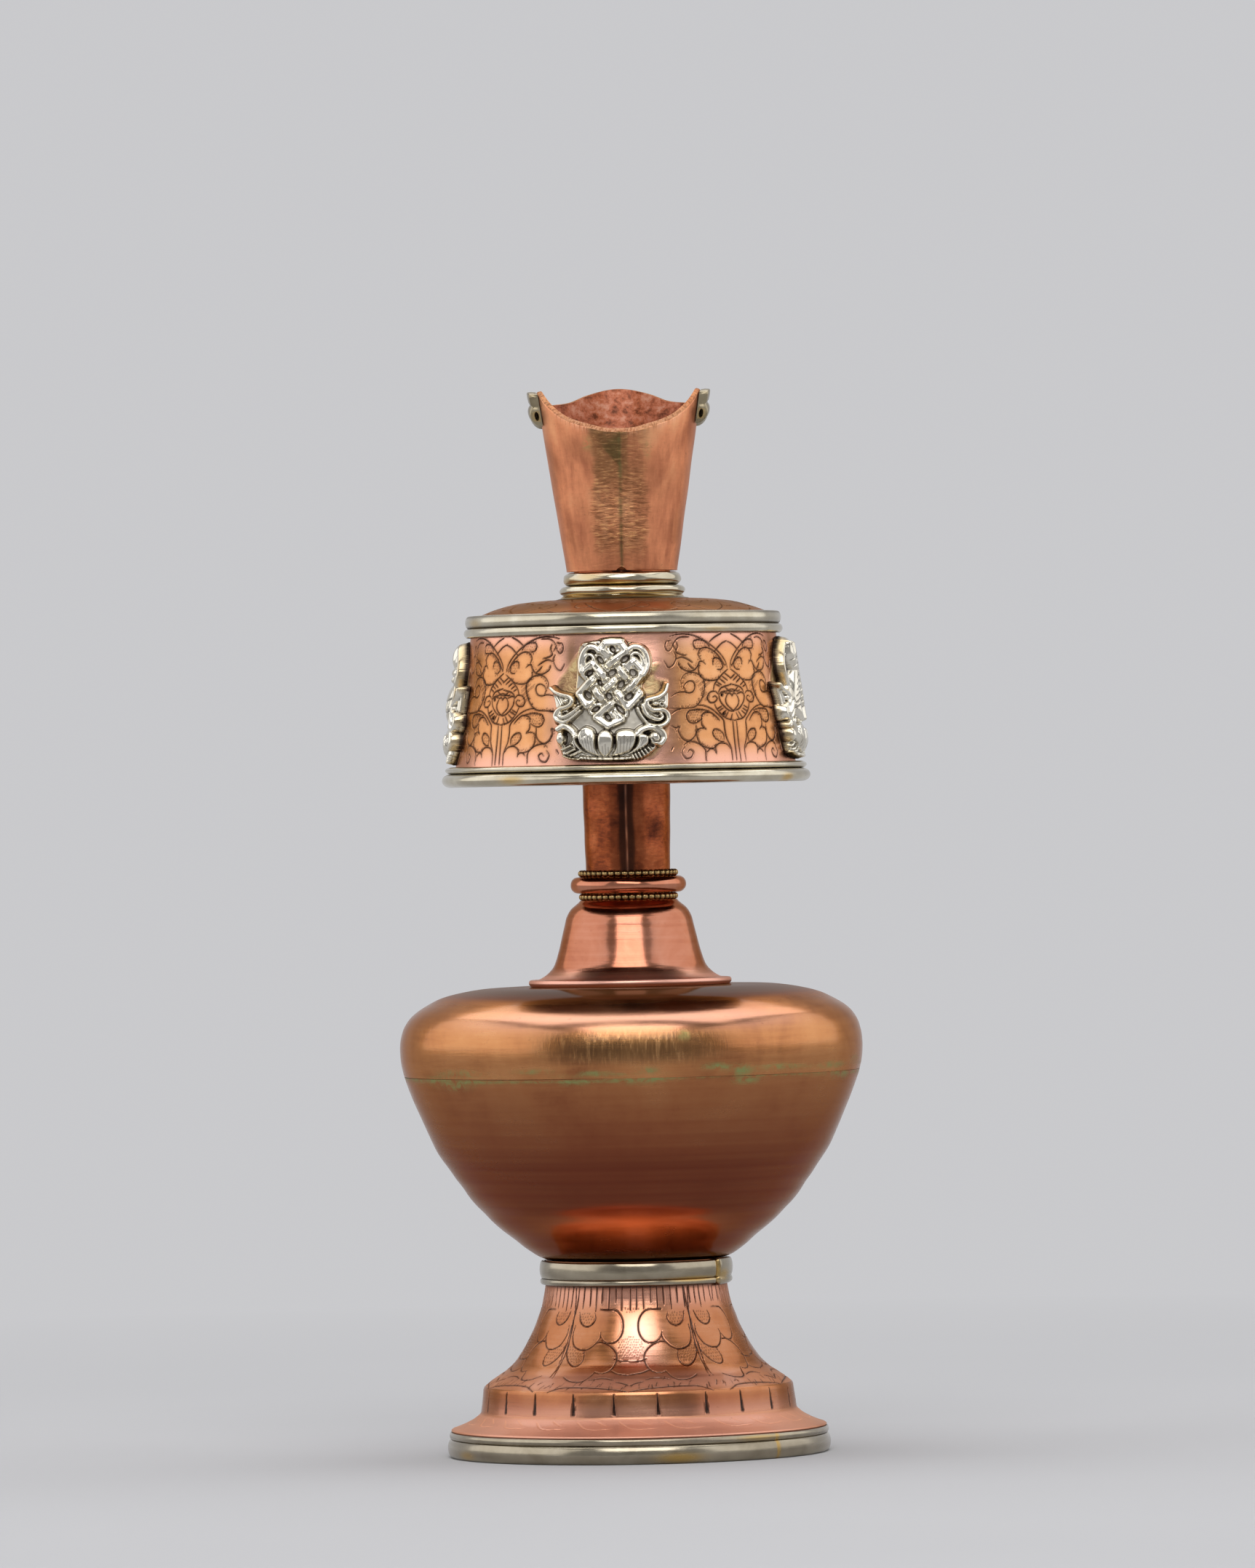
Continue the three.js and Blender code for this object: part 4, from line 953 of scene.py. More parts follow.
# Outlines of the solder's crust on the drum, round an emblem.
FLUX = [
    [(-6, 20.4), (-8.4, 17.4), (-10.4, 14.8), (-8.9, 12.7), (-6.4, 12.2), (-5.7, 16.6)],
    [(7.5, 17.4), (9.7, 18), (8.6, 15.6), (10.9, 14.9), (9.9, 13.2), (7.4, 12), (6, 13.7)],
    [(-9.6, 6.6), (-9.9, 3.2), (-7.6, 0.6), (-6.4, 1.2), (-8.4, 3.6)],
    [(8, 3.2), (9.6, 5.6), (10.6, 7), (10, 3.8), (7.6, 0.6), (6.2, 0.9)],
]


def twin(u):
    """Section of a strand with a groove a little off its middle; u runs from -1 to 1."""
    left = np.sqrt(np.clip(1 - ((u + 0.42) / 0.6) ** 2, 0, 1))
    right = np.sqrt(np.clip(1 - ((u - 0.56) / 0.46) ** 2, 0, 1))
    return 0.85 * np.sqrt(np.clip(1 - u**2, 0, 1)) + 0.15 * np.maximum(left, right)


class Relief:
    """A height field over the drum's wall, built up from strokes and bosses."""

    def __init__(self):
        self.x, self.y = np.meshgrid(np.arange(-11.7, 11.71, GRID), np.arange(-0.4, 23.9, GRID))
        self.height, self.line = np.zeros((2, *self.x.shape))
        self.edge = np.full(self.x.shape, FAR)

    def add(self, gap, height):
        """Raise what lies inside an edge. gap is the distance to the edge, below zero inside."""
        self.edge = np.minimum(self.edge, gap)
        self.height = np.maximum(self.height, np.where(gap < 0, height, 0))

    def nearest(self, points):
        """Distance to a line of points, which side of it, and how far along it the nearest point lies."""
        points = np.asarray(points, float)
        best = np.full(self.x.shape, 99.0)
        place, side = np.zeros(self.x.shape), np.ones(self.x.shape)
        length = 0.0
        for a, b in zip(points[:-1], points[1:]):
            run = b - a
            size = max(np.hypot(*run), 1e-6)
            dx, dy = self.x - a[0], self.y - a[1]
            t = np.clip((dx * run[0] + dy * run[1]) / size**2, 0, 1)
            gap = np.hypot(dx - t * run[0], dy - t * run[1])
            closer = gap < best
            best = np.where(closer, gap, best)
            side = np.where(closer, np.sign(run[0] * dy - run[1] * dx), side)
            place = np.where(closer, length + t * size, place)
            length += size
        return best, side, place / length

    def stroke(self, points, width, height, floor=0.8, smooth=True, swell=None, score=0.0):
        """A rounded strand along points. swell varies its width, and score cuts a line into it."""
        gap, side, along = self.nearest(curve(points, 0.3) if smooth else points)
        wide = width if swell is None else width * swell(along)
        high = floor + (height - floor) * np.clip(1 - (gap / wide) ** 2.4, 0, 1) ** 0.5
        if score:
            cut = bell(gap * side, 0.1 * width, 0.12)
            high = high - score * cut
            self.line = np.maximum(self.line, np.where(gap < wide, 0.45 * cut, 0))
        self.add(gap - wide, high)

    def strokes(self, lines, *shape, **more):
        for points in lines:
            self.stroke(points, *shape, **more)

    def around(self, x, y, long, short, lean):
        """How far out from (x, y) each point lies, in half lengths of an ellipse with that lean."""
        c, n = math.cos(math.radians(lean)), math.sin(math.radians(lean))
        along, across = (self.x - x) * c + (self.y - y) * n, (self.y - y) * c - (self.x - x) * n
        return np.hypot(along / long, across / short)

    def boss(self, x, y, wide, tall, height, floor=0.8, lean=0):
        out = self.around(x, y, wide, tall, lean)
        crown = np.sqrt(np.clip(1 - out**2.2, 0, 1))
        self.add((out - 1) * min(wide, tall), floor + (height - floor) * crown)

    def opening(self, x, y, long, short, lean):
        """An oval opening with rounded walls and a dull floor, with painted shade that is darkest under its
        upper edge.
        """
        out = self.around(x, y, long, short, lean)
        floor = 0.3 + 1.5 * np.clip((out - 0.6) / 0.5, 0, 1) ** 1.3
        self.height = np.where(out < 1.1, np.minimum(self.height, floor), self.height)
        shade = np.clip(1.6 - 1.5 * out, 0, 1) * np.clip(0.72 + 0.3 * (self.y - y) / long, 0.5, 1)
        self.line = np.maximum(self.line, shade)

    def petal(self, outline):
        """A lobe that is level from side to side and turns over at its upper end."""
        gap = outline_distance(self.x, self.y, curve(outline, 0.3, closed=True))
        turn = np.sqrt(np.clip(1 - np.clip(1 + gap / 0.5, 0, 1) ** 2, 0, 1))
        self.add(gap, 1.0 + (1.75 - 0.1 * (self.y - 4.5) ** 2) * turn)

    def groove(self, points, width, depth, smooth=True, dark=0.8):
        gap, _, _ = self.nearest(curve(points, 0.3) if smooth else points)
        cut = np.clip(1 - (gap / width) ** 2, 0, 1)
        self.height = np.maximum(self.height - depth * cut, np.minimum(self.height, 0.4))
        self.line = np.maximum(self.line, np.clip(1.2 - gap / width, 0, 1) * dark)

    def plate(self, outline, height):
        gap = outline_distance(self.x, self.y, curve(outline, 0.4, closed=True))
        self.add(gap, height * np.clip(-gap / 0.3, 0.6, 1))

    def soften(self, times):
        for _ in range(times):
            self.height = 0.5 * self.height + 0.5 * spread(self.height, 1)

    def hollows(self):
        """Painted shade: dark where a point lies lower than what is round it."""
        near, close = spread(self.height, 14), spread(self.height, 3)
        dark = most((near - self.height - 0.02) * 2.4, (close - self.height - 0.012) * 8, self.line)
        return np.clip(dark, 0, 1)


def lotus(relief):
    """The lotus seat with its petals, scrolled ends and pleated hem, and the ribbons beside it."""
    for outline, height in FILLS:
        relief.plate(outline, height)
    relief.plate(HEM, 0.95)
    for n, points in enumerate(HEM_BARS):
        relief.stroke(points, 0.4 if n == 4 else 0.3 if n < 3 else 0.23, 1.75, 0.8)
    for x in (-4.4, -3.9, -3.3, -2.1, -1.2, 0.6, 1.5, 2.5, 3.1, 3.6):
        relief.groove([(x, 0.0), (x + 0.03 * x, 0.9)], 0.11, 0.35, smooth=False, dark=0.6)
    relief.boss(-8.6, 4.5, 0.9, 1.5, 2.7)
    relief.boss(7.9, 4.4, 1.4, 1.65, 2.6)
    relief.strokes(ARMS, 0.75, 2.4, 0.9)
    relief.plate(HEART, 1.2)
    for outline in PETALS:
        relief.petal(outline)
    for x, low, high in PETAL_HATCH:
        relief.groove([(x, high), (x * 0.93 - 0.03, low)], 0.09, 0.14, smooth=False, dark=0.55)
    scroll = [(6.6, 4.9), (7.2, 5.35), (8.0, 5.2), (8.6, 4.5), (8.4, 3.7), (7.7, 3.5), (7.2, 4.1)]
    relief.groove(scroll, 0.16, 0.5)
    relief.groove([(-7.75, 5.3), (-7.3, 4.7), (-7.3, 3.8), (-7.7, 3.3)], 0.4, 1.5)
    relief.groove([(6.7, 3.9), (6.9, 3.1), (7.5, 2.7)], 0.22, 0.8)
    relief.strokes(
        RIBBONS, 0.54, 2.25, 0.9,
        swell=lambda t: 0.7 + 0.42 * np.sin(math.pi * np.clip(t * 1.1 + 0.06, 0, 1)) ** 0.7,
    )
    relief.boss(-7.9, 11.4, 0.75, 0.6, 2.2)
    relief.boss(8.1, 10.6, 0.8, 0.6, 2.2)
    relief.boss(9.25, 10.5, 0.62, 0.6, 1.9)
    relief.groove([(9.25, 10.5), (9.3, 10.45)], 0.3, 0.8)
    folds = [
        [(-8.2, 9.45), (-7.0, 9.6), (-6.1, 10.6)], [(6.5, 9.7), (7.3, 8.75), (8.5, 8.3)],
        [(-10.0, 12.6), (-9.3, 11.5), (-8.9, 10.7)], [(9.9, 12.9), (9.9, 11.4), (9.9, 10.2)],
    ]
    relief.strokes(folds, 0.22, 1.6, 0.9)


def knot(relief):
    """The endless knot: one strand that crosses itself nine times, over and under in turn."""
    places = [np.array(KNOT_PLACES[key]) for key in KNOT_PATH]
    for x, y, long, short, lean in HOLES:
        relief.boss(x, y, long + 0.6, short + 0.6, 1.35, 1.3, lean=lean)
    crossings = [n for n, key in enumerate(KNOT_PATH) if KNOT_PATH.count(key) == 2]
    over = {n: (1 if k % 2 == 0 else -1) for k, n in enumerate(crossings)}
    count = len(places)
    for n in range(count):
        gap, side, t = relief.nearest([places[n], places[(n + 1) % count]])
        start, end = over.get(n, 0), over.get((n + 1) % count, 0)
        blend = np.clip((t - 0.15) / 0.7, 0, 1)
        blend = blend * blend * (3 - 2 * blend)
        level = start * (1 - blend) + end * blend
        high = 1.95 + np.where(level > 0, 0.5, 0.75) * level
        relief.add(gap - STRAND, 0.3 * high + 0.7 * high * twin(np.clip(side * gap / STRAND, -1, 1)))
    relief.strokes(LOOPS, 0.68, 2.2, 0.9, swell=lambda t: 1.0 - 0.1 * t)
    relief.strokes(INNER_LOOPS, 0.45, 1.95, 0.9)
    relief.stroke([(-1.2, 22.65), (0.62, 22.85), (2.8, 22.6)], 0.3, 1.5)
    relief.stroke([(-4.9, 21.85), (-3.3, 22.15), (-1.99, 22.25)], 0.35, 1.3)
    for hole in HOLES:
        relief.opening(*hole)


def mirrored(points, side):
    return [(side * x, y) for x, y in points]


def scarf(relief):
    """The scarf that hangs down both sides of a symbol."""
    for side in (-1, 1):
        relief.stroke(mirrored(SCARF, side), 0.6, 2.0, 0.9, score=0.1)
        relief.stroke([(side * x * 0.83, y - 0.9) for x, y in SCARF[2:]], 0.32, 1.6, 0.9)


def fishes(relief):
    """A pair of fish, noses up, with their tails on the lotus."""
    scarf(relief)
    relief.stroke([(-2.6, 9.4), (0, 10.4), (2.6, 9.4)], 0.5, 1.7, 0.9)
    relief.stroke([(-2.0, 7.6), (0, 8.5), (2.0, 7.6)], 0.45, 1.6, 0.9)
    relief.boss(0, 19.9, 1.0, 1.2, 2.2)
    body = [(-3.4, 7.6), (-4.2, 9.6), (-3.2, 12.4), (-1.3, 15.2), (1.2, 17.6), (3.2, 19.6), (3.6, 21.6)]
    tail = [[(-3.5, 8.4), (-4.8, 7.4), (-5.4, 6.9)], [(-3.5, 8.4), (-2.3, 7.4), (-1.6, 6.8)]]
    for side in (-1, 1):
        spine = np.array(mirrored(body, side))
        relief.stroke(
            spine, 1.75, 3.1, 0.9,
            swell=lambda t: 0.35 + 0.75 * np.sin(math.pi * np.clip(t * 0.92 + 0.04, 0, 1)) ** 0.8,
        )
        relief.strokes([mirrored(points, side) for points in tail], 0.6, 2.0)
        relief.stroke(mirrored([(-4.6, 11.0), (-5.9, 12.4), (-5.7, 13.8)], side), 0.5, 1.8)
        relief.boss(side * 3.5, 21.2, 0.95, 1.1, 3.0)
        relief.groove(mirrored([(3.6, 21.3), (3.65, 21.35)], side), 0.28, 0.5)
        for n in range(9):
            y = 9.6 + n * 1.15
            x = np.interp(y, spine[:, 1], spine[:, 0])
            relief.groove([(x - 1.3, y - 0.3), (x, y + 0.45), (x + 1.3, y - 0.3)], 0.13, 0.3)
    relief.stroke([(-2.2, 21.6), (0, 22.5), (2.2, 21.6)], 0.5, 1.7)


def wheel(relief):
    """A wheel of eight spokes with a jewelled rim."""
    hub = np.array([0.0, 14.6])
    circle = np.array([(math.sin(a), math.cos(a)) for a in np.linspace(0, TURN, 48)])
    scarf(relief)
    relief.stroke(hub + 5.6 * circle, 0.8, 2.4, 0.9, smooth=False, score=0.12)
    relief.stroke(hub + 2.0 * circle, 0.55, 2.3, 0.9, smooth=False)
    relief.boss(*hub, 1.0, 1.0, 2.9)
    for turn in turn_of(8):
        out = np.array([math.sin(turn), math.cos(turn)])
        relief.stroke([hub + out * 2.2, hub + out * 5.4], 0.45, 2.1, 0.8, smooth=False)
        relief.boss(*(hub + out * 3.8), 0.6, 0.6, 2.4)
        relief.boss(*(hub + out * 6.7), 0.7, 0.7, 2.2)


def treasure_vase(relief):
    """A round vase with a jewel over its lid and a scarf about its neck."""
    scarf(relief)
    relief.boss(0, 11.4, 4.6, 4.3, 3.1, 0.9)
    relief.boss(0, 7.3, 2.4, 1.2, 2.4, 0.9)
    relief.stroke([(-1.9, 16.0), (1.9, 16.0)], 0.9, 2.5, 0.9)
    relief.boss(0, 17.4, 3.0, 1.2, 2.7, 0.9)
    relief.boss(0, 20.3, 1.9, 2.7, 2.9, 0.9)
    tie = [(2.0, 15.8), (4.4, 16.6), (5.6, 15.4), (6.2, 13.4), (5.6, 11.2)]
    for side in (-1, 1):
        relief.boss(side * 2.4, 19.6, 1.1, 1.6, 2.2)
        relief.stroke(mirrored(tie, side), 0.6, 2.1, score=0.1)
    for y in (12.6, 10.4):
        relief.groove([(-4.3, y), (0, y - 0.8), (4.3, y)], 0.16, 0.4)
    for n in range(7):
        x = -3.3 + n * 1.1
        relief.groove([(x, 12.0), (x * 0.9, 10.3)], 0.12, 0.3)


def emblem(name, node, degrees, symbol, plate):
    """A cast emblem on the drum's wall, closed behind, with its middle at that angle."""
    relief = Relief()
    relief.plate(plate, 0.85)
    lotus(relief)
    symbol(relief)
    relief.soften(3)
    dark = relief.hollows()
    cast = np.random.default_rng(len(name)).normal(0, 1, relief.x.shape)
    relief.height += 0.05 * spread(cast, 14)
    solid = relief.edge < EMBLEM_EDGE
    cells = solid[:-1, :-1] & solid[1:, :-1] & solid[:-1, 1:] & solid[1:, 1:]
    shares = np.zeros(solid.shape, int)
    for rows in (slice(None, -1), slice(1, None)):
        for columns in (slice(None, -1), slice(1, None)):
            shares[rows, columns] += cells
    used = shares > 0
    count = int(used.sum())
    # Points on the rim are pushed out to the true edge, so that it isn't stepped.
    rim = used & (shares < 4)
    up, across = np.gradient(relief.edge, GRID)
    steep = np.maximum(across**2 + up**2, 0.25)
    push = np.where(rim, np.clip(EMBLEM_EDGE - relief.edge, 0, 0.9 * GRID) / steep, 0)
    high = np.where(rim, 0.25, np.maximum(relief.height, 0.55))[used]
    x, y = (relief.x + push * across)[used], (relief.y + push * up)[used]
    z = EMBLEM_FOOT + y * EMBLEM_SCALE
    base = wall_radius(z) + FIT
    turn = math.radians(degrees) + x / EMBLEM_CURVE
    co = np.concatenate([place_round(base + out, z, turn) for out in (high, EMBLEM_BACK)])
    index = np.full(solid.shape, -1)
    index[used] = np.arange(count)
    corners = (index[:-1, :-1], index[:-1, 1:], index[1:, 1:], index[1:, :-1])
    front = np.stack([corner[cells] for corner in corners], axis=1)
    edges = np.concatenate([front[:, [n, (n + 1) % 4]] for n in range(4)])
    code, reverse = edges @ [count, 1], edges @ [1, count]
    a, b = edges[~np.isin(code, reverse)].T
    sides = np.stack([b, a, a + count, b + count], axis=1)
    brass = np.clip(0.75 - np.abs(relief.edge[used] + 0.05) * 2.2, 0, 0.6)
    dull = np.clip(1 - np.abs(relief.height[used] - 0.85) / 0.12, 0, 1)
    # cut lays painted shade in the hollows and on the back against the wall, and darkens the plate.
    flags = {
        "cut": np.concatenate([most(dark[used], 0.5 * dull), np.ones(count)]),
        "brass": np.tile(brass, 2),
        "dull": np.tile(dull, 2),
    }
    faces = [front, front[:, ::-1] + count, sides]
    make(name, co, faces, CAST_METAL, node, flags, sharp=70)


# Drum

DRUM_COLUMNS = 1200
DRUM_FOOT, DRUM_TOP = (32.45, 125.9), (28.25, 156.5)
EMBLEM_AXIS = -5  # degrees from the front to the middle of the front emblem
PANELS = 4
PANEL_AXIS = 41.3
PANEL_FOOT = 129.4
PITS = [(36.8, 141.9), (37.0, 138.4)]  # punched pits in the first panel: degrees and heights
WALL_DEGREE = 0.54  # mm in a degree round the wall
# One half of a panel, mirrored for the other: degrees from its middle, and heights over PANEL_FOOT.
PANEL = [
    ([-24.5, -20.5, -16.1, -11.6, -7, -3.5, -1.4, -0.8], [23.5, 24, 23.9, 23.1, 21.7, 20.2, 18.8, 17.6]),
    ([-22.2, -22.8, -21.3, -18.9, -16.4], [21, 22, 23, 23.4, 23.3]),
    ([-21.7, -21.2, -21.9, -20.2, -18], [22.4, 21.5, 20.5, 20, 19.8]),
    ([-21.8, -19.8, -17.7, -15.8], [19.2, 19.5, 19.1, 18.5]),
    ([-21.4, -20.7, -18, -15.3, -13.6, -13, -11.9, -10.6], [18.8, 17.8, 17.1, 17.3, 18.2, 18.8, 18.9, 18.4]),
    ([-17.8, -16.8, -15.3], [18.4, 17.8, 17.2]),
    ([-12.3, -13, -12.2, -10, -7.6, -5.3, -3.3, -1.5], [19, 20, 20.9, 21.3, 21, 20.2, 19.1, 17.8]),
    ([-13, -13.7, -13.5, -11.6, -8.4, -5.6, -4], [18.7, 17.6, 16.3, 15.4, 15.2, 15.5, 16.3]),
    ([-7.2, -6.8, -5.2, -3.4, -2.7, -4, -5.7], [18.2, 19.3, 19.5, 18.9, 18, 17.3, 17.4]),
    ([-8, -9.8, -12.5, -14.5, -14.7, -13.8, -11.7], [21.5, 22.5, 22.9, 22.6, 21.7, 21.2, 21.2]),
    ([-2.3, -5.7, -8.4], [24, 23.2, 22.3]), ([0, -2.8, -6], [22.6, 22, 20.7]),
    ([-25.3, -22.8, -20.2, -18.1, -16.4, -15.6, -16.1, -17.6, -19.1, -19.9, -19.3], [12.2, 12.9, 13.1, 12.9,
        13.2, 14.1, 14.9, 15.1, 14.7, 14, 13.1]),
    ([-20.5, -20.5, -19, -16.3, -13.4, -11.6, -11.3, -12.1, -13.6, -15.9, -18.9, -22.3, -25.5], [14.1, 15.3,
        16.4, 16.8, 16.4, 15.5, 14.3, 12.8, 11.4, 10.4, 10.2, 10.1, 10.1]),
    ([-25.2, -23.1, -20.6], [9.1, 9.8, 10.1]),
    ([-15.7, -12.5, -9.4, -6.6, -5.1, -5, -4.5, -3, -2.9], [10.6, 10.4, 9.7, 8.5, 7.6, 6.2, 4.4, 2.5, 0.2]),
    ([-10.4, -13.4, -16.5, -18.6, -19.5, -18.7, -16.8, -14.9, -13.9], [9.5, 9.8, 9.8, 9.5, 8.6, 7.6, 7.3, 7.7,
        8.1]),
    ([-13.7, -13.8, -12.2, -10.2, -8.5, -6.8], [7.9, 8.7, 9.2, 9.2, 8.6, 7.7]),
    ([-13.8, -13.8, -12.3], [7.9, 6.9, 6.1]),
    ([-12.7, -14.2, -15.9, -16.3, -15.1, -12.6, -10, -9.2], [6.2, 6.4, 6, 4.8, 3.4, 2.7, 2.7, 3.4]),
    ([-5.7, -5.9, -7.6, -9.6, -10.2, -9.3, -7.4, -5.7], [4.1, 5.2, 6, 6.1, 5.3, 4.5, 3.9, 3.9]),
    ([-16.4, -16.5, -17.4, -19.5, -21.7, -22.8, -22.6, -23.9, -25.4], [6.9, 5.7, 4.7, 4, 4.5, 5.7, 6.7, 6.5,
        6.9]),
    ([-21.4, -19.7, -16.9, -14.7, -13.6, -13.7], [3.3, 3.9, 3.7, 3, 2.1, 0.3]),
    ([-9.3, -9.4, -7.4, -4.7, -3.2], [1.7, 2.9, 3.6, 3.4, 2.5]),
    ([-12.8, -11.4, -9.9, -9.4], [1.9, 2.5, 2.3, 1.7]),
    ([-21.1, -22, -20.9, -18.9, -18, -19.1, -20], [2.9, 1.9, 0.8, 1, 1.9, 2.4, 1.9]),
    ([-25.8, -25.2, -25], [2.1, 2.7, 2.9]),
    ([-23.3, -25.4, -26, -25.6, -24.6, -23.5, -22.9], [22.7, 22.5, 21.7, 20.9, 20.7, 21.3, 22.2]),
    ([-26.7, -26, -25.2, -23.4, -22, -22.7], [18.8, 18.2, 17.6, 18, 19.4, 20.5]),
    ([-6.3, -7.6, -9.7, -10.9, -10.2, -8.2, -6.9, -7.6, -8.9], [12.6, 13.1, 12.9, 12, 11.1, 11.1, 11.7, 12.2,
        12]),
    ([-8.3, -7.5, -6.1, -3.9, 0], [10.9, 9.9, 9, 8.1, 7.7]), ([-2.1, -3.1, -2.6, 0], [12.6, 11.6, 10.6, 9.5]),
    ([-6, -5.8, -4.5, -2.3, 0], [12.6, 11.6, 10.6, 9.7, 9.5]), ([-2.1, -1, 0], [12.6, 12.75, 12.2]),
    ([-6, -4.6, -2.4], [12.6, 13, 12.7]), ([-8.2, -7.1, -4, -0.5], [13.2, 14.6, 16.1, 17.3]),
    ([-6.2, -4.5, 0], [12.9, 13.8, 14.4]), ([-7.1, -5.5], [14.3, 13.9]), ([-6.3, -4.4], [14.9, 14.3]),
    ([-5.1, -2.8], [15.5, 14.7]), ([-4, -1.4], [16.1, 15.2]), ([-2.4, 0.2], [16.5, 15.6]),
    ([-7.3, -5.3], [9.9, 10.4]), ([-6.7, -4.4], [9.4, 10]), ([-5.6, -3.5], [8.8, 9.6]),
    ([-3.9, -2.3], [8.2, 9.4]), ([-2.2, -1.1], [7.8, 9.1]), ([-0.9, -0.9, -1], [7.6, 4, 0.2]),
    ([-4, -2.6, 0], [13.3, 13.2, 13.6]), ([-3, -1.4, 0], [13.9, 13.2, 13.1]),
]
PANEL_DROPS = [8, 9, 16, 20, 27]  # lines that enclose dots
PANEL_COMBS = [(4, 1), (6, -1), (7, 1), (13, -1), (16, 1), (17, -1), (19, 1), (21, 1), (9, -1), (8, 1)]
PANEL_HATCH = [
    ([-15.5, -14, -9, -10.5, -13.5], [15.6, 15.3, 14.9, 12.6, 13.4]),
    ([-22, -20, -16, -19.5], [19, 17, 16.9, 17.6]), ([-13.2, -11, -8.6, -10.8], [12.9, 11, 11.4, 13]),
]
LID = [(28.2, 157.5), (26.9, 157.75), (24.2, 158.75), (20.7, 159.7), (16.6, 160.2), (12.6, 160.45)]
LID_COLUMNS = 900
LID_LINES = [
    ([0, 6, 11, 14], [157.75, 158.3, 159, 159.5]),
    ([14, 17, 16, 12, 9, 9.5], [159.5, 159.2, 158.7, 158.6, 158.9, 159.25]),
    ([2, 5, 10, 12, 9, 4, 2], [160.1, 160.25, 160.2, 159.95, 159.7, 159.75, 160]),
    ([0, 4, 8], [159.3, 159.55, 159.45]),
    ([17, 20, 22.5], [158.2, 157.95, 157.8]),
    ([12, 18, 22.5], [160.3, 160.1, 159.8]),
]


def wall_radius(z):
    return cone_radius(z, DRUM_FOOT, DRUM_TOP)


def drum_work(outline):
    work = Engraving(outline, DRUM_COLUMNS)
    for panel in range(PANELS):
        axis = PANEL_AXIS + 90 * panel
        for side in (1, -1):
            bend = rng.normal(0, 0.25, 2)[0]
            for line in PANEL:
                work.draw(placed(line, axis + bend, side, PANEL_FOOT), rng.uniform(0.9, 1.1), wobble=0.07)
            for n in PANEL_DROPS:
                work.stipple(placed(PANEL[n], axis, side, PANEL_FOOT), 0.5, 1.1)
            for line in PANEL_HATCH:
                work.stipple(placed(line, axis, side, PANEL_FOOT), 0.5, 0.7, lines=True)
            for n, out in PANEL_COMBS:
                work.comb(placed(PANEL[n], axis, side, PANEL_FOOT), out * side)
    return work


def build_drum():
    z = np.arange(129.3, 153.9, 0.17)
    outside = np.stack([wall_radius(z), z], axis=1)
    lift, dark = drum_work(outside).depth()
    inner = np.concatenate([[DRUM_FOOT], outside[::14], [DRUM_TOP]]) - [SHEET, 0]
    profile = np.concatenate([[DRUM_FOOT], outside, [DRUM_TOP], inner[::-1]])
    grid, cut = np.zeros((2, len(profile), DRUM_COLUMNS))
    rows = slice(1, 1 + len(outside))
    grid[rows] = lift + waves(len(outside), DRUM_COLUMNS, 0.05, 51)
    cut[rows] = dark
    red = np.clip(spread(cut, 9), 0, 0.35)
    out = (np.arange(len(profile)) < len(outside) + 2)[:, None]
    z, turn = profile[:, 1:], turn_of(DRUM_COLUMNS, 360)
    side = (turn - EMBLEM_AXIS + 45) % 90 - 45  # degrees from the nearest emblem's middle
    near = np.abs(side)
    x, y = np.broadcast_arrays(np.radians(side) * EMBLEM_CURVE, (z - EMBLEM_FOOT) / EMBLEM_SCALE)
    halo = np.minimum.reduce([outline_distance(x, y, curve(f, 0.5, closed=True)) for f in FLUX])
    for panel in range(PANELS):
        for degrees, level in PITS:
            away = np.hypot((turn - degrees - 90 * panel) * WALL_DEGREE, z - level)
            cut = most(cut, np.clip(1.6 - away / 0.32, 0, 1))
            grid -= 0.3 * np.clip(1.3 - away / 0.3, 0, 1) * out
    turned(
        "drum_wall_engraved", profile, grid, DRUM_COPPER, "drum_wall", "engraved_copper",
        cut=cut,
        red=red,
        pink=0.85 * most(rise(near, 25, 17), bell(z, 129.6, 2.4), bell(z, 153.6, 2.2)),
        stain=most(
            0.75 * bell(side, -14.5, 2.6) * bell(z, 149.5, 4), 0.35 * bell(near, 21.5, 2) * bell(z, 137, 3)
        ),
        flux=np.clip(0.35 - halo / 0.9, 0, 0.85) * out,
    )


def build_lid():
    """The domed lid. Its profile runs from the edge inward, so that the engraving's heights rise."""
    top = curve(LID, 0.22)
    work = Engraving(top, LID_COLUMNS)
    for n in range(8):
        for side in (1, -1):
            for line in LID_LINES:
                work.draw(placed(line, 45 * n - 5, side), wobble=0.05)
    for n in range(72):
        work.draw(([5.0 * n, 5.0 * n + 0.6], [157.6, 157.85]), 0.7, 0.2)
    bore = tube_radius(160.5) + FIT
    under = (top[::9] - [0, SHEET])[::-1]
    profile = np.concatenate([[[28.25, 156.6]], top, [[bore, 160.5], [bore, 159.5]], under])
    grid, cut = np.zeros((2, len(profile), LID_COLUMNS))
    rows = slice(1, 1 + len(top))
    grid[rows], cut[rows] = work.depth()
    r = profile[:, :1]
    # The lid is darkened all over, and most next to the collar and along its edge.
    lid_darkening = 0.6 + 0.3 * bell(r, 12.5, 1.6) + 0.3 * bell(r, 28, 1) + waves(*cut.shape, 0.22, 77, 9)
    turned(
        "drum_lid_engraved", profile, grid, DRUM_COPPER, "drum_lid", "engraved_copper",
        cut=most(cut, 0.3), stain=lid_darkening, red=0.12, pink=0.35,
    )


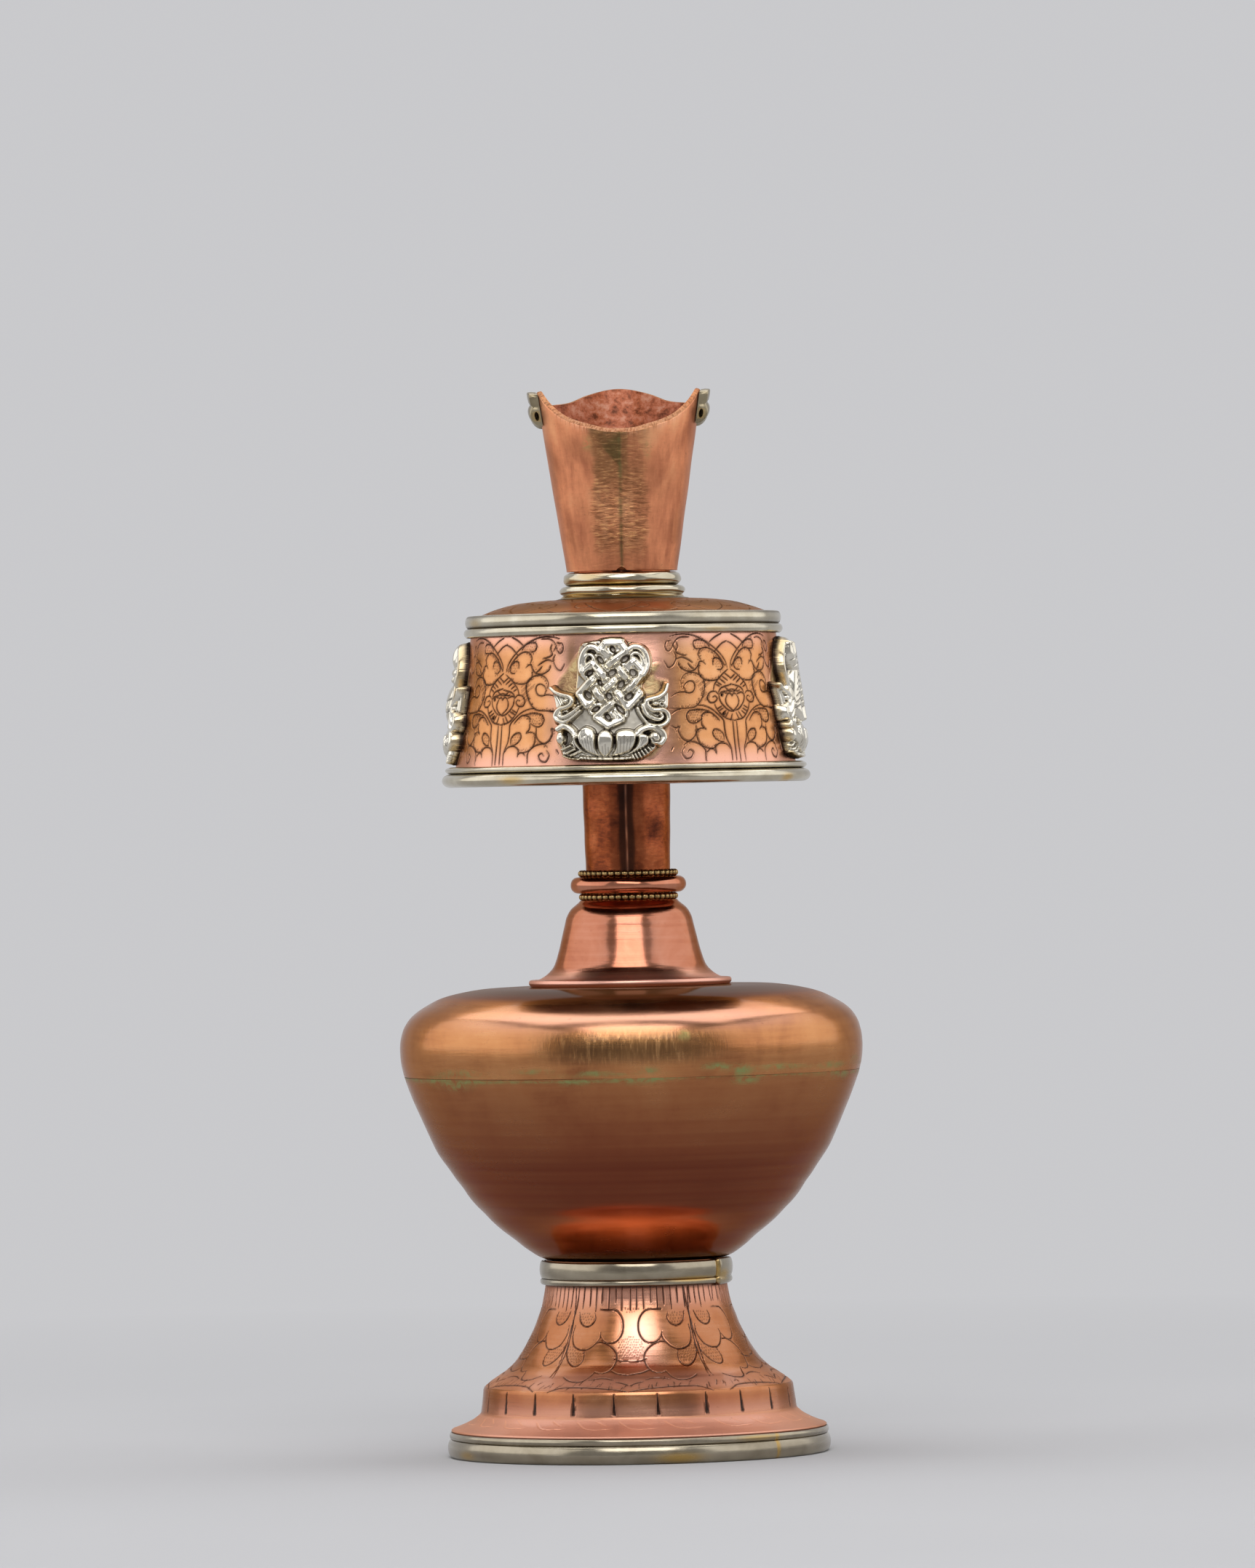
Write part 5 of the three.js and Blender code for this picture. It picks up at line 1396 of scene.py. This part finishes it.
build_drum()
build_lid()
band(
    "drum_foot_moulding", "drum_foot_band", lambda z: wall_radius(z) + FIT, 125.65, (2.5, 1.3), (1.6, 1.2),
    [(-38, 126.8, 3.0, 0.8, 0.7), (61, 126.3, 2.2, 0.9, 0.9), (2, 129.2, 7, 0.3, 0.5), (140, 127, 4, 1, 0.7)],
)
band(
    "drum_top_moulding", "drum_top_band", lambda z: wall_radius(min(z, DRUM_TOP[1])) + FIT, 153.6, (1.7, 2.4),
    (0.7, 0.7), [(35, 154.2, 3.0, 0.4, 0.5), (-70, 156, 3, 1, 0.5)],
)


# Collars

COLLAR_COLUMNS = 256
FILLET = [(12.45, 160.5), (11.75, 160.7), (11.3, 161.05), (11.2, 161.2)]


def collar(name, node, bore, low, high, outline, marks):
    """A moulded ring round the neck tube, from low to high at its bore."""
    profile = np.concatenate([[[bore, low]], *outline, [[bore, high]]])
    z = profile[:, 1:]
    # Each ring is darkened at its foot, where it sits on the piece below: painted shade.
    turned(
        name, profile, waves(len(profile), COLLAR_COLUMNS, 0.05, len(name), 8), BAND_METAL, node,
        "white_metal_band", cut=0.6 * bell(z, z.min(), 0.35), brass=spots(profile, COLLAR_COLUMNS, marks),
    )


collar(
    "collar_lower_moulding", "lower_collar", tube_radius(162.95) + FIT, 160.5, 162.93,
    [curve(FILLET, 0.12), bead(10.7, 161.15, 1.78, 1.1)],
    [(-60, 161, 9, 0.4, 0.9), (20, 160.9, 8, 0.3, 0.9), (110, 161, 9, 0.4, 0.9), (-160, 161, 6, 0.5, 0.8)],
)
collar(
    "collar_upper_moulding", "upper_collar", tube_radius(165.45) + FIT, 162.97, 165.44,
    [bead(9.95, 163.0, 2.42, 1.12)],
    [
        (-20, 163.3, 8, 0.45, 1.0), (-70, 163.6, 5, 0.8, 0.7), (25, 163.2, 5, 0.35, 0.9),
        (-35, 164.6, 3, 0.8, 0.5), (130, 163.4, 9, 0.5, 0.9),
    ],
)


# Mouth cup

# The cup's lip: degrees from the front on either side, and heights.
RIM_TURN = [0, 12, 23, 35, 46, 58, 66, 74, 81, 87, 90, 94, 99, 105, 112, 118, 126, 142, 157, 180]
RIM_HEIGHT = [
    191.5, 191.7, 192.4, 193.2, 194.2, 195.8, 197, 198.3, 199.2, 199.45, 199.5, 199.4, 199, 198.2, 197.6,
    197.3, 197.4, 197.9, 199.25, 200.4,
]
CUP_COLUMNS = 720
CUP_ROWS = 170
INNER_ROWS = 40
CUP_FOOT = 165.7
CUP_TOP = 200.5
CUP_FLARE = 8.6  # degrees
FILED = 5.25  # half width of the filed strip along the seam
# The lug in section: out from the cup, and up from its lip.
LUG_BLOCK = [
    (0, 0.02), (0.75, 0.08), (1.45, 0), (1.64, -0.22), (1.68, -1), (1.62, -1.8), (1.42, -2.06), (1.02, -2.2),
]
LUG_ROLL = [
    (1.02, -2.2), (1.35, -2.4), (1.74, -2.85), (1.98, -3.45), (2.02, -4.1), (1.88, -4.75), (1.55, -5.3),
    (1.1, -5.7), (0.6, -5.92), (0, -5.95),
]
LUG_HOLE = (0.82, -4.0, 0.42, 0.85)  # its middle, and its half width and height
LUG_HALF = 3.4
TIP_RADIUS = 16.2  # the cup's radius at its tips


def cup_radius(z):
    return 10.4 + (z - CUP_FOOT) * math.tan(math.radians(CUP_FLARE))


def rim_height(degrees):
    """Height of the cup's lip, a smooth curve through RIM_HEIGHT at RIM_TURN on both sides."""
    away = np.abs((np.asarray(degrees) + 180) % 360 - 180)
    knots, heights = np.array(RIM_TURN, float), np.array(RIM_HEIGHT)
    slope = np.gradient(heights, knots)
    slope[0] = slope[-1] = 0
    n = np.clip(np.searchsorted(knots, away) - 1, 0, len(knots) - 2)
    gap = knots[n + 1] - knots[n]
    t = (away - knots[n]) / gap
    ends = heights[n] * (2 * t**3 - 3 * t**2 + 1) + heights[n + 1] * (3 * t**2 - 2 * t**3)
    return ends + gap * (slope[n] * (t**3 - 2 * t**2 + t) + slope[n + 1] * (t**3 - t**2))


def cup_waves(size, seed, turns=5):
    return waves(CUP_ROWS, CUP_COLUMNS, size, seed, turns)


def build_cup():
    """The seamed cup: rows of its skin from the foot up, its cut lip, and its inside."""
    side = from_front(CUP_COLUMNS)
    away = np.abs(side)
    rim = rim_height(side)
    foot = CUP_FOOT + 0.7 * np.clip(1 - np.abs(side / 5.5 + 0.1) ** 1.6, 0, 1)
    z_out = foot + (rim - 0.15 - foot) * np.linspace(0, 1, CUP_ROWS)[:, None]
    r_out = cup_radius(z_out)
    tool = rng.normal(0, 1, z_out.shape)
    tool = sum(np.roll(tool, k, axis=1) for k in range(-6, 7)) / 3.6
    burr = np.random.default_rng(81).normal(0, 1, (5, CUP_COLUMNS))
    burr = (np.roll(burr, 1, axis=1) + burr) / 1.4

    arc = np.radians(side) * r_out  # mm from the seam
    wide = FILED + 0.35 * np.sin(z_out / 2.3) + 0.25 * np.sin(z_out * 1.7 + 2)
    # Where the skin was filed for the solder.
    zone = step(np.abs(arc + 0.15) - wide, 3.4) * np.clip((z_out - 166.5) / 5, 0.25, 1)
    edge = rise(z_out, rim - 1.7, rim) ** 2
    front = rise(away, 62, 48)
    seam = bell(side, 0, 1.7)
    lift = 0.01 * tool * zone + 0.022 * burr[0] * edge * front - 0.13 * seam - 0.08 * edge
    lift += cup_waves(0.06, 61)
    lift[0] = 0
    inner_rise = np.interp(away, [0, 60, 90, 120, 180], [0.75, 0.6, 0.35, 0.05, 0.0])
    lip_z = rim + np.stack([0 * rim + 0.02, 0.25 * inner_rise + 0.1, 0.8 * inner_rise, 0.86 * inner_rise])
    lip_z[1:3] += 0.03 * burr[2:4] * rise(away, 100, 80)
    lip_r = cup_radius(rim) - np.array([[0.18], [0.38], [0.78], [0.95]])
    top = np.minimum(rim + 0.6 * inner_rise, CUP_TOP - 0.15)
    z_in = CUP_FOOT + (top - CUP_FOOT) * np.linspace(1, 0, INNER_ROWS)[:, None]
    r = np.concatenate([r_out + lift, lip_r, cup_radius(z_in) - SHEET])
    z = np.concatenate([z_out, np.minimum(lip_z, CUP_TOP), z_in])

    high = rise(z_out, 181, 186)
    left = -np.clip((z_out - 184.5) * 0.85, 0, 4)
    # The dark patch beside the seam's upper end.
    hook = step(left - arc, 5) * step(arc - 0.5, 5) * rise(z_out, 178, 185)
    hook *= np.clip(0.85 + cup_waves(0.5, 83, 14), 0.3, 1)
    stain = np.clip(zone * (0.42 + 0.38 * high * step(arc - 1.5, 6) + 0.1 * np.sin(z_out / 1.9)), 0, 1)
    stain += (1 - zone) * 0.14 * np.clip(cup_waves(1.6, 71, 9), 0, 1)
    blobs = 0.8 * bell(arc, -6.3, 0.9) * bell(z_out, 189.6, 1.1)
    blobs += 0.5 * bell(arc, 5.4, 0.6) * bell(z_out, 188.2, 1.6)
    groove = seam * (0.32 + 0.2 * (z_out < 172))
    rough_edge = edge * front * np.clip(-0.3 * burr[0] - 0.05, 0, 0.5)

    def field(skin, lip=0.0, inside=0.0):
        parts = ((skin, CUP_ROWS), (lip, len(lip_z)), (inside, INNER_ROWS))
        return np.concatenate([np.broadcast_to(part, (rows, CUP_COLUMNS)) for part, rows in parts])

    flags = {
        "stain": field(most(stain, hook), 0.5),
        "green": field(most(0.4 * seam, 0.12 * hook, blobs)),
        "pink": field(0.55 * rise(away, 62, 87)),
        "red": field((1 - zone) * 0.16 * np.clip(cup_waves(1.6, 72, 7), 0, 1)),
        "cut": field(most(groove, rough_edge, 0.24 * hook), np.clip(0.08 - 0.3 * burr[1:], 0, 0.5)),
        "worn": field(
            edge * front * np.clip(0.5 + 0.5 * burr[0], 0, 1), front * np.clip(0.45 + 0.6 * burr[1:], 0, 1)
        ),
        "filed": field(most(zone * (1 - 0.5 * high), 0.07)),
        "inside": field(0.0, 0.0, 1.0),
    }
    co = place_round(r, z, turn_of(CUP_COLUMNS))
    make("mouth_cup_filed", co, [tube_faces(*r.shape)], CUP_COPPER, "mouth_cup", flags)


def build_lug(side, name, node):
    """A block soldered outside the cup's tip, over a strip rolled into an open knuckle."""
    back = straight([(0.0, -6.3), (0.0, 0.02)], 0.6)[1:-1]
    outer = np.concatenate([straight(LUG_BLOCK, 0.3), curve(LUG_ROLL, 0.3)[1:], back])
    cx, cz, wide, tall = LUG_HOLE
    turn = turn_of(32)
    hole = np.stack([cx + wide * np.cos(turn), cz + tall * np.sin(turn)], axis=1)
    n, m = len(outer), len(hole)

    def place(outline, across):
        """The outline, out from the cup and up from its lip, at a distance from the lug's middle."""
        top = float(rim_height(90 + math.degrees(across / TIP_RADIUS))) + 0.1
        z = outline[:, 1] + top + 0.04 * np.sin(3 * across + outline[:, 0])
        x = cup_radius(z) + 0.1 + outline[:, 0] - across**2 / (2 * TIP_RADIUS)
        return np.stack([side * x, np.full(len(z), across), z], axis=1)

    def shrunk(by):
        away = outer - [0.8, -3.0]
        size = np.maximum(np.linalg.norm(away, axis=1, keepdims=True), 0.1)
        return outer - away / size * by * (outer[:, :1] > 0.05)

    edge = [(LUG_HALF, 0.12), (LUG_HALF - 0.1, 0.03)]
    middle = [(across, 0.0) for across in np.linspace(0.3 - LUG_HALF, LUG_HALF - 0.3, 13)]
    rows = [*((-across, by) for across, by in edge), *middle, *edge[::-1]]
    parts = [place(shrunk(by), across) for across, by in rows]
    faces = [tube_faces(len(rows), n, around=False)]
    start = n * len(rows)
    cuts, brass = [np.zeros(start)], [np.zeros(start)]
    cap = np.array(tessellate_polygon([[Vector((*point, 0)) for point in loop] for loop in (outer, hole)]))
    a, b, c = np.concatenate([outer, hole])[cap].transpose(1, 2, 0)
    if np.sum((b - a)[0] * (c - a)[1] - (b - a)[1] * (c - a)[0]) < 0:
        cap = cap[:, ::-1]
    fan = np.array([(0, k, k + 1) for k in range(1, m - 1)])
    for end, first in ((-1, 0), (1, start - n)):
        # The hole's walls darken the deeper they go: painted shade.
        for deep, dark, yellow in ((0, 0.3, 0.5), (0.5, 0.6, 0.6), (1.9, 0.8, 0.3)):
            parts.append(place(hole, end * (LUG_HALF - deep)))
            cuts.append(np.full(m, dark))
            brass.append(np.full(m, yellow))
        ring = np.where(cap < n, cap + first, cap - n + start)
        well = tube_faces(3, m, around=False) + start
        faces += [ring[:, ::-end], (fan + start + 2 * m)[:, ::-end], well[:, ::end]]
        start += 3 * m
    flags = {"cut": np.concatenate(cuts), "brass": np.concatenate(brass)}
    faces = [f[:, ::side] for f in faces]
    make(name, np.concatenate(parts), faces, LUG_METAL, node, flags, sharp=40)


build_cup()
build_lug(-1, "mouth_lug_left", "left_mouth_lug")
build_lug(1, "mouth_lug_right", "right_mouth_lug")

emblem("emblem_endless_knot", "front_knot_emblem", EMBLEM_AXIS, knot, PLATE)
emblem("emblem_pair_of_fish", "right_fish_emblem", EMBLEM_AXIS + 90, fishes, EVEN_PLATE)
emblem("emblem_wheel", "back_wheel_emblem", EMBLEM_AXIS + 180, wheel, EVEN_PLATE)
emblem("emblem_treasure_vase", "left_vase_emblem", EMBLEM_AXIS + 270, treasure_vase, EVEN_PLATE)


# Stage, light and camera, in metres


def paper(name, colour, backdrop, shade):
    """Plain paper. Away from the vase it is lit evenly, as a backdrop is, and duller on the camera's side."""
    s = Shade(name)
    darker = tuple(c - 0.01 for c in colour)
    s.finish(s.ramp(s.noise((6, 6, 6), 2, 0.5), 0.3, 0.7, [darker, colour]), 0.9, Metallic=0.0)
    x, y = (s.add("SeparateXYZ", {0: s.coords}, axis) for axis in "XY")
    r = s.math("MAXIMUM", s.math("POWER", s.plus(s.times(x, x), s.times(y, y)), 0.5), 0.01)
    front = s.times(s.span(s.math("DIVIDE", y, r), -0.45, -0.85), s.span(r, 0.4, 1.3))
    rays = [s.add("LightPath", {}, f"Is {kind} Ray") for kind in ("Camera", "Glossy", "Transmission")]
    seen = functools.reduce(lambda a, b: s.math("MAXIMUM", a, b), rays)
    glow = s.add("Emission", {"Color": s.mix(front, backdrop, shade)})
    share = s.times(s.span(r, 0.14, 0.6), seen)
    s.links.new(s.add("MixShader", {0: share, 1: s.bsdf.outputs[0], 2: glow}), s.out.inputs[0])
    return s.material


def build_stage():
    """A pale floor that curves up all round, well behind every camera."""
    columns = 96
    side = [(0.02, 0), (1.5, 0), (2.6, 0), (3.2, 0.12), (3.7, 0.55), (3.95, 1.3), (4, 2.4), (4, 4.2)]
    path = curve(side, 0.08)
    co = place_round(path[:, :1], np.maximum(path[:, 1:], 0) - 0.00003, math.pi - turn_of(columns))
    faces = [*tube_faces(len(path), columns, around=False).tolist(), range(columns)]
    mesh = bpy.data.meshes.new("floor")
    mesh.from_pydata(co.tolist(), [], faces)
    mesh.shade_smooth()
    mesh.materials.append(paper("floor_paper", (0.72, 0.72, 0.73), (0.79, 0.79, 0.80), (0.64, 0.64, 0.65)))
    floor = bpy.data.objects.new("floor", mesh)
    scene.collection.objects.link(floor)


def softbox(name, azimuth, height, distance, size, radiance, aim=0.1):
    """A rectangular lamp that faces the vase. Azimuth is counted from the front, towards the right."""
    light = bpy.data.lights.new(name, "AREA")
    light.shape = "RECTANGLE"
    light.size, light.size_y = size
    light.energy = radiance * size[0] * size[1] * math.pi
    lamp = bpy.data.objects.new(name, light)
    scene.collection.objects.link(lamp)
    turn = math.radians(azimuth)
    lamp.location = (distance * math.sin(turn), -distance * math.cos(turn), height)
    away = Vector((0, 0, aim)) - lamp.location
    lamp.rotation_euler = away.to_track_quat("-Z", "Y").to_euler()


def build_light():
    softbox("front_box", 0, 0.92, 0.98, (0.98, 0.86), 3.0)
    softbox("left_box", -86, 0.62, 1.15, (2.2, 1.16), 0.84)
    softbox("right_box", 86, 0.62, 1.15, (2.2, 1.16), 0.76)
    softbox("top_box", 180, 1.15, 0.25, (1.6, 1.4), 1.7)
    world = bpy.data.worlds.new("studio")
    scene.world = world
    world.use_nodes = True
    background = world.node_tree.nodes["Background"]
    background.inputs[0].default_value = (0.24, 0.24, 0.24, 1)
    background.inputs[1].default_value = 1.0


def build_camera():
    """Level and far away, as in the photograph, and turned a little so that the vase leans left."""
    data = bpy.data.cameras.new("camera")
    data.sensor_fit = "VERTICAL"
    data.sensor_height = 36
    data.lens = 250.5
    data.clip_end = 20
    camera = bpy.data.objects.new("camera", data)
    scene.collection.objects.link(camera)
    camera.location = (0.00023, -2.05, 0.1257)
    camera.rotation_euler = (math.radians(90), math.radians(1.146), 0)
    scene.camera = camera


build_stage()
build_light()
build_camera()
scene.view_settings.view_transform = "Standard"
